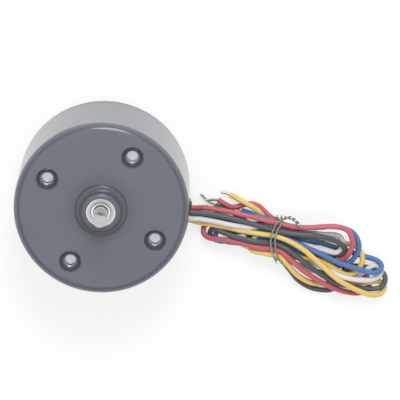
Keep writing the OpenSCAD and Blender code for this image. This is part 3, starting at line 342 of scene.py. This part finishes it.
def turned_off(point, u, v, a, r):
    """The point at distance r from another, turned by angle a from direction u towards v."""
    return tuple(p + r * (math.cos(a) * x + math.sin(a) * y) for p, x, y in zip(point, u, v))


def twisted_rod(name, points, radius):
    """A rod along points with soft ridges that wind round it, closed at both ends."""
    corners, faces = [], []
    last = len(points) - 1
    for i, point in enumerate(points):
        u, v = aside(points[max(i - 1, 0)], points[min(i + 1, last)])
        for j in range(ROD_SIDES):
            a = math.tau * j / ROD_SIDES
            ridge = math.cos(RIDGES * a - math.radians(RING_TURN * RIDGES * i))
            r = radius * (1 - RIDGE_SHARE + RIDGE_SHARE * ridge)
            r *= TIP_SHARE if i == last else 1
            corners.append(turned_off(point, u, v, a, r))
    for i in range(last):
        for j in range(ROD_SIDES):
            p, q = i * ROD_SIDES + j, i * ROD_SIDES + (j + 1) % ROD_SIDES
            faces.append((p, q, q + ROD_SIDES, p + ROD_SIDES))
    faces.append(tuple(range(ROD_SIDES))[::-1])
    faces.append(tuple(last * ROD_SIDES + j for j in range(ROD_SIDES)))
    mesh = bpy.data.meshes.new(name)
    mesh.from_pydata(metres(corners), [], faces)
    piece = place_new(name, mesh)
    clean_skin()
    return piece


print("ridges of a stripped end:", RIDGES)

WIRE_STEP, STRAND_STEP = 0.6, 0.25

for colour, route in ROUTES.items():
    points = smooth(route, WIRE_STEP)
    insulation = round_wire(colour + "_insulation", points, WIRE_R)
    strands = twisted_rod(
        colour + "_strands", smooth(END_ROUTES[colour], STRAND_STEP), STRAND_R)
    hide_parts(colour + "_wire")
    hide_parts("tinned_ends")
    for piece, slot in ((insulation, colour + "_wire"), (strands, "tinned_copper")):
        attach(piece, "motor")

# %% [markdown]
# A twist of thin bright wire holds the hank. It goes twice round the waist, is drawn a little
# aside on top, and its two ends are twisted together there. A torus would be too round for a
# flat hank, so one turn is a list of points, and the second is the same turn a little further
# along.

# %% Wire tie
TIE_R = 0.3
TIE_COUNT = 2
TIE_PITCH = 1.25
TIE_STEP, TAIL_STEP = 0.5, 0.3
TAIL_TWIST = 32
TAIL_SKIP = 5
TIE_TURN = [
    (50.6, -10.5, 6.1), (49.4, -12.6, 6.2), (48.7, -15.2, 6.3), (48.7, -17.6, 6.3),
    (49.2, -20.2, 6.3), (49.8, -21.9, 6.1), (50, -22.9, 5.2), (50, -23.1, 3), (50, -22.6, 0.9),
    (50, -21.4, 0.4), (50, -16, 0.35), (49.9, -10.9, 0.35), (49.8, -9.5, 1), (49.9, -9.2, 3.4),
    (50.2, -9.4, 5.4),
]
TAIL_ROUTE = [
    (51.6, -9.8, 6.2), (52.7, -8.9, 6.4), (53.9, -8.6, 6.6), (55.1, -8.9, 6.7), (56.1, -9.6, 6.8),
    (56.8, -10.5, 6.9), (57.2, -11.4, 7.1),
]


def twisted_end(side):
    """One of the two ends, winding round the middle line of the tail."""
    points = smooth(TAIL_ROUTE, TAIL_STEP)
    wound = []
    for i in range(1, len(points) - 1):
        u, v = aside(points[i - 1], points[i + 1])
        a = math.radians(TAIL_TWIST * i) + side * math.pi
        wound.append(turned_off(points[i], u, v, a, TIE_R))
    return wound


tie_turns = [
    (x + TIE_PITCH * (k + j / len(TIE_TURN)), y, z)
    for k in range(TIE_COUNT) for j, (x, y, z) in enumerate(TIE_TURN)]
tie_line = [*twisted_end(0)[::-1], *tie_turns, *twisted_end(1)[TAIL_SKIP:]]
tie = round_wire("tie_wire", smooth(tie_line, TIE_STEP), TIE_R)
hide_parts("wire_tie")
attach(tie, "motor")
print("turns of the tie, millimetres:", round(along(tie_turns)))

# %% [markdown]
# A stator coil is enamelled copper wound tooth by tooth. The frame has a plain ring of copper
# round each tooth. A helix would need a lead from layer to layer that nobody sees, so each turn
# is a loop of its own: a plane with rounded corners whose outline becomes a curve with a round
# section. The loops stand along the tooth in two layers, and the finished coil is copied round
# the stator.

# %% One turn of copper
COPPER_R = 0.28
ENAMEL_GAP = 0.02
TOOTH_HALF_W, TOOTH_HALF_H, STACK_MIDDLE = 1.36, 6.26, 16.0
CORNER_PARTS = 4
COPPER_DETAIL = 1


def one_turn(offset, r):
    """A turn of copper whose middle line lies an offset outside the tooth."""
    bpy.ops.object.select_all(action="DESELECT")
    bpy.ops.mesh.primitive_plane_add(
        size=1, location=(r * MM, 0, STACK_MIDDLE * MM), rotation=(0, math.pi / 2, 0))
    turn = bpy.context.object
    turn.scale = (2 * (TOOTH_HALF_H + offset) * MM, 2 * (TOOTH_HALF_W + offset) * MM, 1)
    bpy.ops.object.transform_apply(location=True, rotation=True, scale=True)
    bpy.ops.object.mode_set(mode="EDIT")
    bpy.ops.mesh.select_all(action="SELECT")
    bpy.ops.mesh.bevel(offset=offset * MM, segments=CORNER_PARTS, affect="VERTICES")
    bpy.ops.mesh.delete(type="ONLY_FACE")
    bpy.ops.object.mode_set(mode="OBJECT")
    bpy.ops.object.convert(target="CURVE")
    turn = bpy.context.object
    turn.data.bevel_depth = COPPER_R * MM
    turn.data.bevel_resolution = COPPER_DETAIL
    bpy.ops.object.convert(target="MESH")
    return bpy.context.object


def joined(pieces, name):
    """Joins pieces into the first and names it."""
    bpy.ops.object.select_all(action="DESELECT")
    for piece in pieces:
        piece.select_set(True)
    bpy.context.view_layer.objects.active = pieces[0]
    bpy.ops.object.join()
    pieces[0].name = name
    return pieces[0]


print("copper wire, millimetres across:", 2 * COPPER_R)

# %% Twelve coils
TOOTH_COUNT = 12
COIL_INNER_R, COIL_OUTER_R = 10.3, 17.05
COIL_SMOOTH_ANGLE = math.radians(60)

turn_count = int((COIL_OUTER_R - COIL_INNER_R) / (2 * COPPER_R + ENAMEL_GAP))
span = COIL_OUTER_R - COIL_INNER_R - 2 * COPPER_R
coil_turns = []
for k in range(turn_count):
    r = COIL_INNER_R + COPPER_R + k * span / (turn_count - 1)
    for offset in (COPPER_R + ENAMEL_GAP, 3 * COPPER_R + 2 * ENAMEL_GAP):
        coil_turns.append(one_turn(offset, r))
coil = joined(coil_turns, "stator_coils")
coils = [coil]
for k in range(1, TOOTH_COUNT):
    other = place_new(coil.name, coil.data.copy())
    other.rotation_euler.z = math.tau * k / TOOTH_COUNT
    bpy.ops.object.transform_apply(location=True, rotation=True, scale=True)
    coils.append(other)
coil = joined(coils, "stator_coils")
bpy.ops.object.shade_smooth_by_angle(angle=COIL_SMOOTH_ANGLE)
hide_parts("windings")
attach(coil, "motor")
print("turns a coil:", len(coil_turns), "faces:", len(coil.data.polygons))

# %% [markdown]
# Real surfaces are never one even colour. Three effects serve the finishes here: a slow drift of
# tone, as in paint and plating, fine marks left by turning or rolling, and fine grain. They could
# be painted as pictures, but noise fits every size of piece and needs no unwrapping. Each is a
# node group with named inputs, built once and placed in each material with its own values.

# %% Nodes and groups
def add_node(tree, kind, values=None, **settings):
    """A shader node with its settings, and with values for its inputs by name or place."""
    node = tree.nodes.new("ShaderNode" + kind)
    for name, setting in settings.items():
        setattr(node, name, setting)
    for socket, value in (values or {}).items():
        node.inputs[socket].default_value = value
    return node


def new_group(name, inputs, output):
    """A shader node group with its sockets; returns it with its end nodes."""
    group = bpy.data.node_groups.new(name, "ShaderNodeTree")
    for label, kind, value in inputs:
        socket = group.interface.new_socket(label, in_out="INPUT", socket_type=kind)
        socket.default_value = value
    group.interface.new_socket(output[0], in_out="OUTPUT", socket_type=output[1])
    return group, group.nodes.new("NodeGroupInput"), group.nodes.new("NodeGroupOutput")


GROUPS = {}
print("helpers for nodes and groups are ready")

# %% Group: tone drift
def tone_drift():
    """A colour that gets a little lighter and darker from place to place."""
    group, given, result = new_group(
        "tone drift",
        [("Color", "NodeSocketColor", (0.5, 0.5, 0.5, 1)), ("Amount", "NodeSocketFloat", 0.1),
         ("Size", "NodeSocketFloat", 100.0)],
        ("Color", "NodeSocketColor"))
    link = group.links.new
    place = add_node(group, "TexCoord")
    noise = add_node(group, "TexNoise", {"Detail": 4})
    twice = add_node(group, "Math", {1: 2, 2: -1}, operation="MULTIPLY_ADD")
    spread = add_node(group, "Math", {2: 1}, operation="MULTIPLY_ADD")
    tone = add_node(group, "VectorMath", operation="SCALE")
    link(place.outputs["Object"], noise.inputs["Vector"])
    link(given.outputs["Size"], noise.inputs["Scale"])
    link(noise.outputs["Fac"], twice.inputs[0])
    link(twice.outputs[0], spread.inputs[0])
    link(given.outputs["Amount"], spread.inputs[1])
    link(given.outputs["Color"], tone.inputs[0])
    link(spread.outputs[0], tone.inputs["Scale"])
    link(tone.outputs[0], result.inputs["Color"])
    return group


GROUPS["tone"] = tone_drift()
print("nodes in the tone drift:", len(GROUPS["tone"].nodes))

# %% Group: turning marks
def turning_marks():
    """Fine rings round the shaft's axis on faces, and round the wall on sides."""
    group, given, result = new_group(
        "turning marks",
        [("Pitch", "NodeSocketFloat", 0.0003), ("Wander", "NodeSocketFloat", 0.5)],
        ("Height", "NodeSocketFloat"))
    link = group.links.new
    place = add_node(group, "TexCoord")
    split = add_node(group, "SeparateXYZ")
    flat = add_node(group, "CombineXYZ")
    radius = add_node(group, "VectorMath", operation="LENGTH")
    total = add_node(group, "Math", operation="ADD")
    count = add_node(group, "Math", operation="DIVIDE")
    noise = add_node(group, "TexNoise", {"Detail": 3, "Scale": 1}, noise_dimensions="1D")
    link(place.outputs["Object"], split.inputs[0])
    link(split.outputs["X"], flat.inputs["X"])
    link(split.outputs["Y"], flat.inputs["Y"])
    link(flat.outputs[0], radius.inputs[0])
    link(radius.outputs["Value"], total.inputs[0])
    link(split.outputs["Z"], total.inputs[1])
    link(total.outputs[0], count.inputs[0])
    link(given.outputs["Pitch"], count.inputs[1])
    link(count.outputs[0], noise.inputs["W"])
    link(given.outputs["Wander"], noise.inputs["Distortion"])
    link(noise.outputs["Fac"], result.inputs["Height"])
    return group


GROUPS["turned"] = turning_marks()
print("nodes in the turning marks:", len(GROUPS["turned"].nodes))

# %% Group: fine grain
def fine_grain():
    """Even fine roughness, such as orange peel in paint or the skin of a moulding."""
    group, given, result = new_group(
        "fine grain",
        [("Size", "NodeSocketFloat", 1500.0), ("Softness", "NodeSocketFloat", 0.5)],
        ("Height", "NodeSocketFloat"))
    link = group.links.new
    place = add_node(group, "TexCoord")
    noise = add_node(group, "TexNoise", {"Detail": 2})
    link(place.outputs["Object"], noise.inputs["Vector"])
    link(given.outputs["Size"], noise.inputs["Scale"])
    link(given.outputs["Softness"], noise.inputs["Roughness"])
    link(noise.outputs["Fac"], result.inputs["Height"])
    return group


GROUPS["grain"] = fine_grain()
print("node groups:", sorted(g.name for g in GROUPS.values()))

# %% [markdown]
# Every finish starts from one recipe: a colour that drifts a little, a roughness, and a height
# pattern that a Bump node turns into small changes of the surface's direction. What differs from
# steel to rubber is only the values and which pattern feeds the bump.

# %% The common recipe
RAY_SAMPLES = 8


def finish(name, colour, rough, metal=0.0, coat=0.0, drift=0.06, drift_size=150.0,
           marks="grain", marks_size=1500.0, depth=0.00001, strength=0.3, edge=0.0):
    """A procedural material: drifting colour, plain gloss, and a bump of grain or marks."""
    material = bpy.data.materials.new(name)
    material.use_nodes = True
    tree, link = material.node_tree, material.node_tree.links.new
    shader = tree.nodes["Principled BSDF"]
    shader.inputs["Roughness"].default_value = rough
    shader.inputs["Metallic"].default_value = metal
    shader.inputs["Coat Weight"].default_value = coat
    tone = add_node(
        tree, "Group", {"Color": (*colour, 1), "Amount": drift, "Size": drift_size},
        node_tree=GROUPS["tone"])
    pattern = add_node(tree, "Group", {0: marks_size}, node_tree=GROUPS[marks])
    bump = add_node(tree, "Bump", {"Strength": strength, "Distance": depth})
    link(tone.outputs["Color"], shader.inputs["Base Color"])
    link(pattern.outputs["Height"], bump.inputs["Height"])
    link(bump.outputs["Normal"], shader.inputs["Normal"])
    if edge:
        soft = add_node(tree, "Bevel", {"Radius": edge}, samples=RAY_SAMPLES)
        link(soft.outputs["Normal"], bump.inputs["Normal"])
    return material


def tone_of(material):
    """The material's own tone drift node."""
    nodes_in = material.node_tree.nodes
    return next(x for x in nodes_in if x.type == "GROUP" and x.node_tree == GROUPS["tone"])


print("patterns for a finish:", sorted(GROUPS))

# %% [markdown]
# The drawn can is dipped in a dark grey electrocoat. It is glossy over faint drawing rings, so
# that the bright table shows in its side at a low angle. The coat is thick on every edge, and a
# Bevel node rounds the edges in the shading alone, which costs no faces. Steel parts differ in
# how smooth they are: a ground shaft mirrors its surroundings, and zinc plating only blurs them.

# %% Finishes of the can and the metal parts
finishes = {
    "dark_coat": finish(
        "dark coat", (0.14, 0.15, 0.182), 0.25, coat=0.42, drift=0.06, drift_size=60,
        marks="turned", marks_size=0.0006, depth=0.000004, strength=0.3, edge=0.0005),
    "screw_steel": finish(
        "screw zinc", (0.62, 0.63, 0.65), 0.3, metal=1, marks="turned", marks_size=0.0002),
    "die_cast": finish("die casting", (0.62, 0.63, 0.65), 0.5, metal=1, depth=0.00004),
    "lamination_steel": finish(
        "lamination steel", (0.42, 0.43, 0.46), 0.42, metal=1, marks="turned",
        marks_size=0.0005, depth=0.00005, strength=0.6),
    "spring_steel": finish("spring steel", (0.55, 0.55, 0.57), 0.3, metal=1),
    "bearing_steel": finish(
        "bearing steel", (0.95, 0.95, 0.96), 0.14, metal=1, drift=0.03, marks="turned",
        marks_size=0.00015, depth=0.000004),
    "shield_steel": finish(
        "pressed shield", (0.66, 0.67, 0.69), 0.3, metal=1, marks="turned", marks_size=0.0003),
    "zinc_steel": finish(
        "blue zinc", (0.62, 0.68, 0.8), 0.32, metal=1, drift=0.12, drift_size=220,
        marks="turned", marks_size=0.0006),
    "magnet": finish("bonded ferrite", (0.06, 0.058, 0.058), 0.62, drift=0.15, depth=0.00004),
    "hub_brass": finish(
        "turned brass", (0.72, 0.55, 0.25), 0.28, metal=1, marks="turned", marks_size=0.0003),
    "shaft_steel": finish(
        "ground shaft", (0.56, 0.56, 0.57), 0.12, metal=1, drift=0.12, drift_size=900,
        marks="turned", marks_size=0.0002, depth=0.000004, strength=0.4),
    "cage_brass": finish("cage brass", (0.7, 0.56, 0.28), 0.3, metal=1),
    "clip_steel": finish("black oxide", (0.12, 0.12, 0.13), 0.4, metal=1),
    "copper": finish(
        "enamelled copper", (0.72, 0.28, 0.11), 0.26, metal=1, coat=0.4, drift=0.12,
        drift_size=300),
    "tinned_brass": finish("tinned pin", (0.75, 0.73, 0.66), 0.3, metal=1),
    "tinned_copper": finish(
        "tinned strands", (0.6, 0.6, 0.58), 0.34, metal=1, drift=0.1, drift_size=500),
    "tie_steel": finish("tie wire", (0.7, 0.7, 0.71), 0.3, metal=1, drift=0.1),
}
print("finishes so far:", len(finishes))

# %% [markdown]
# Two things are added to the coat's colour. Painted shade darkens it where less light gets in,
# as round the boss's foot and in the dimples, for which an Ambient Occlusion node gives the
# amount.
# And the four screw holes were pierced after coating, so their walls are bare steel. The holes lie
# on a square, so turning the square upright and dropping the signs of x and y brings all four to
# one place, and a plain distance from it makes the mask.

# %% Painted shade in corners and bare holes of the coat
HOLE_PITCH, HOLE_TURN, BARE_R = 25, 59.5, 1.8
# The dark grey below is painted into the coat as shade in its corners and dimples.
PAINTED_SHADE_COLOUR = (0.03, 0.031, 0.034, 1)
BARE_STEEL = (0.7, 0.74, 0.84, 1)
PAINTED_SHADE_REACH, PAINTED_SHADE_POWER = 0.005, 2


def paint_shade_and_bare_holes(material):
    """Paints shade into the corners of a coat and leaves the walls of the screw holes bare."""
    tree, link = material.node_tree, material.node_tree.links.new
    shader = tree.nodes["Principled BSDF"]
    place = add_node(tree, "TexCoord")
    upright = add_node(
        tree, "VectorRotate", {"Angle": math.radians(45 - HOLE_TURN)}, rotation_type="Z_AXIS")
    quarter = add_node(tree, "VectorMath", operation="ABSOLUTE")
    flat = add_node(tree, "VectorMath", {1: (1, 1, 0)}, operation="MULTIPLY")
    away = add_node(
        tree, "VectorMath", {1: (HOLE_PITCH / 2 * MM, HOLE_PITCH / 2 * MM, 0)},
        operation="DISTANCE")
    bare = add_node(tree, "Math", {1: BARE_R * MM}, operation="LESS_THAN")
    shade = add_node(
        # Painted shade: Ambient Occlusion, raised to a power, mixes the coat's colour towards the
        # dark grey.
        tree, "AmbientOcclusion", {"Distance": PAINTED_SHADE_REACH}, samples=RAY_SAMPLES)
    deeper = add_node(tree, "Math", {1: PAINTED_SHADE_POWER}, operation="POWER")
    painted_shade = add_node(tree, "Mix", {"A": PAINTED_SHADE_COLOUR}, data_type="RGBA")
    colour = add_node(tree, "Mix", {"B": BARE_STEEL}, data_type="RGBA")
    link(place.outputs["Object"], upright.inputs["Vector"])
    link(upright.outputs[0], quarter.inputs[0])
    link(quarter.outputs[0], flat.inputs[0])
    link(flat.outputs[0], away.inputs[0])
    link(away.outputs["Value"], bare.inputs[0])
    link(shade.outputs["AO"], deeper.inputs[0])
    link(deeper.outputs[0], painted_shade.inputs["Factor"])
    link(tone_of(material).outputs["Color"], painted_shade.inputs["B"])
    link(painted_shade.outputs["Result"], colour.inputs["A"])
    link(bare.outputs[0], colour.inputs["Factor"])
    link(colour.outputs["Result"], shader.inputs["Base Color"])
    link(bare.outputs[0], shader.inputs["Metallic"])


paint_shade_and_bare_holes(finishes["dark_coat"])
print("nodes in the dark coat:", len(finishes["dark_coat"].node_tree.nodes))

# %% [markdown]
# Mouldings and wire insulation are not metal. The wires' vinyl is satin and slightly wavy. The
# five colours are those of the photograph, in which a bright studio has paled them.

# %% Finishes of plastic, rubber and vinyl
finishes.update({
    "ivory_plastic": finish("ivory nylon", (0.72, 0.7, 0.6), 0.5, drift=0.04),
    "black_plastic": finish("moulded epoxy", (0.03, 0.03, 0.033), 0.45, drift=0.1),
    "ceramic_tan": finish("ceramic", (0.5, 0.38, 0.22), 0.4, drift=0.08),
    "sheet_white": finish("insulating film", (0.72, 0.72, 0.68), 0.35, drift=0.03),
    "black_rubber": finish("grommet rubber", (0.09, 0.09, 0.095), 0.6, depth=0.00003),
    "red_wire": finish("red vinyl", (0.66, 0.15, 0.19), 0.36, marks_size=700),
    "black_wire": finish("black vinyl", (0.13, 0.13, 0.135), 0.34, marks_size=700),
    "white_wire": finish("white vinyl", (0.88, 0.86, 0.89), 0.38, drift=0.03, marks_size=700),
    "yellow_wire": finish("yellow vinyl", (0.95, 0.68, 0.22), 0.36, marks_size=700),
    "blue_wire": finish("blue vinyl", (0.11, 0.22, 0.5), 0.34, marks_size=700),
})
print("finishes so far:", len(finishes))

# %% [markdown]
# A circuit board is green solder mask over copper traces, which show as slightly lighter lines
# under the mask. A pattern of rounded cells whose borders are thin gives such lines everywhere,
# so no picture of a real layout is needed.

# %% Finish of the circuit board
MASK_GREEN = (0.02, 0.16, 0.07)
TRACE_GREEN = (0.05, 0.27, 0.13)
TRACE_SCALE, TRACE_WANDER, TRACE_SHARE = 450, 0.4, 0.08


def solder_mask():
    """Green mask with lighter lines where copper runs below it."""
    board = finish("solder mask", MASK_GREEN, 0.3, coat=0.3, drift=0.05)
    tree, link = board.node_tree, board.node_tree.links.new
    place = add_node(tree, "TexCoord")
    cells = add_node(
        tree, "TexVoronoi", {"Scale": TRACE_SCALE, "Randomness": TRACE_WANDER},
        feature="DISTANCE_TO_EDGE")
    line = add_node(tree, "Math", {1: TRACE_SHARE}, operation="LESS_THAN")
    mix = add_node(
        tree, "Mix", {"A": (*MASK_GREEN, 1), "B": (*TRACE_GREEN, 1)}, data_type="RGBA")
    link(place.outputs["Object"], cells.inputs["Vector"])
    link(cells.outputs["Distance"], line.inputs[0])
    link(line.outputs[0], mix.inputs["Factor"])
    link(mix.outputs["Result"], tone_of(board).inputs["Color"])
    return board


finishes["board_green"] = solder_mask()
print("finishes:", len(finishes))

# %% [markdown]
# The loops below give them all their materials, so no piece keeps a bare colour.

# %% Dress every piece
def dress(piece, slot):
    """Gives a piece one finish in place of what it had."""
    piece.data.materials.clear()
    piece.data.materials.append(finishes[slot])


for part in frame["record"]["subparts"]:
    dress(nodes[part["node"]], part["material_slot"])
for colour in ROUTES:
    dress(bpy.data.objects[colour + "_insulation"], colour + "_wire")
    dress(bpy.data.objects[colour + "_strands"], "tinned_copper")
dress(tie, "tie_steel")
dress(coil, "copper")

# %% [markdown]
# The studio is white to the camera. A bright world gives even soft light, and the floor is pale
# paper that keeps a faint shadow. A brighter lamp could whiten the floor, but it would pale the
# motor too, so world and floor have an extra glow that only the camera and reflections see.

# %% Glow for the camera and for reflections
def glow_for_view(tree, strength):
    """A mask for camera, glossy and transmitted rays, times a strength."""
    rays = add_node(tree, "LightPath")
    most = add_node(tree, "Math", operation="MAXIMUM")
    more = add_node(tree, "Math", operation="MAXIMUM")
    scaled = add_node(tree, "Math", {1: strength}, operation="MULTIPLY")
    tree.links.new(rays.outputs["Is Camera Ray"], most.inputs[0])
    tree.links.new(rays.outputs["Is Glossy Ray"], most.inputs[1])
    tree.links.new(most.outputs[0], more.inputs[0])
    tree.links.new(rays.outputs["Is Transmission Ray"], more.inputs[1])
    tree.links.new(more.outputs[0], scaled.inputs[0])
    return scaled.outputs[0]


def plain_material(name, shade):
    """A matt grey material and its shader, for the studio only."""
    material = bpy.data.materials.new(name)
    material.use_nodes = True
    shader = material.node_tree.nodes["Principled BSDF"]
    shader.inputs["Base Color"].default_value = (shade, shade, shade, 1)
    shader.inputs["Roughness"].default_value = 1
    return material, shader


bpy.context.scene.view_settings.view_transform = "Standard"
print("view transform:", bpy.context.scene.view_settings.view_transform)

# %% World and floor
WORLD_LIGHT, WORLD_GLOW = 0.7, 0.3
FLOOR_SIZE, FLOOR_Z = 6, -0.0002
FLOOR_SHADE, FLOOR_GLOW = 0.42, 0.66

world = bpy.data.worlds.new("studio")
bpy.context.scene.world = world
world.use_nodes = True
background = world.node_tree.nodes["Background"]
background.inputs["Color"].default_value = (1, 1, 1, 1)
base = add_node(world.node_tree, "Math", {1: WORLD_LIGHT}, operation="ADD")
world.node_tree.links.new(glow_for_view(world.node_tree, WORLD_GLOW), base.inputs[0])
world.node_tree.links.new(base.outputs[0], background.inputs["Strength"])

bpy.ops.mesh.primitive_plane_add(size=FLOOR_SIZE, location=(0, 0, FLOOR_Z))
floor = bpy.context.object
floor.name = "floor"
paper, shader = plain_material("paper", FLOOR_SHADE)
shader.inputs["Specular IOR Level"].default_value = 0
shader.inputs["Emission Color"].default_value = (1, 1, 1, 1)
paper.node_tree.links.new(
    glow_for_view(paper.node_tree, FLOOR_GLOW), shader.inputs["Emission Strength"])
floor.data.materials.append(paper)
print("floor at", FLOOR_Z)

# %% [markdown]
# A glossy dark coat mirrors what stands round it, and a world that is white on all sides would
# turn it pale. A photographer puts up dark cloth. Here it is an open tube round the set, which
# only glossy rays see, so that it takes no light away and never shows in the picture.

# %% Dim room
ROOM_SIDES, ROOM_R, ROOM_DEPTH, ROOM_MIDDLE = 48, 0.6, 0.9, 0.65
ROOM_SHADE = 0.05

bpy.ops.mesh.primitive_cylinder_add(
    vertices=ROOM_SIDES, radius=ROOM_R, depth=ROOM_DEPTH, location=(0, 0, ROOM_MIDDLE),
    end_fill_type="NOTHING")
room = bpy.context.object
room.name = "dim_room"
room.data.materials.append(plain_material("dim room", ROOM_SHADE)[0])
for kind in ("camera", "diffuse", "transmission", "shadow"):
    setattr(room, "visible_" + kind, False)
print("room from", ROOM_MIDDLE - ROOM_DEPTH / 2, "to", ROOM_MIDDLE + ROOM_DEPTH / 2)

# %% [markdown]
# One round soft lamp stands behind the motor and shines down on it. It gives the small bright
# lines on the rims and edges. It is about as large as a plate, because a smaller one would draw
# hard dots and a larger one would wash over the whole face.

# %% Lamp
LAMP_PLACE, LAMP_TURN = (0.05, 0.39, 0.42), (-45, 7, 0)
LAMP_SIZE, LAMP_WATTS = 0.25, 1.2

bpy.ops.object.light_add(type="AREA", location=LAMP_PLACE)
lamp = bpy.context.object
lamp.data.shape = "DISK"
lamp.data.size = LAMP_SIZE
lamp.data.energy = LAMP_WATTS
lamp.rotation_euler = [math.radians(turn) for turn in LAMP_TURN]
print("lamp at", [round(c, 2) for c in lamp.location])
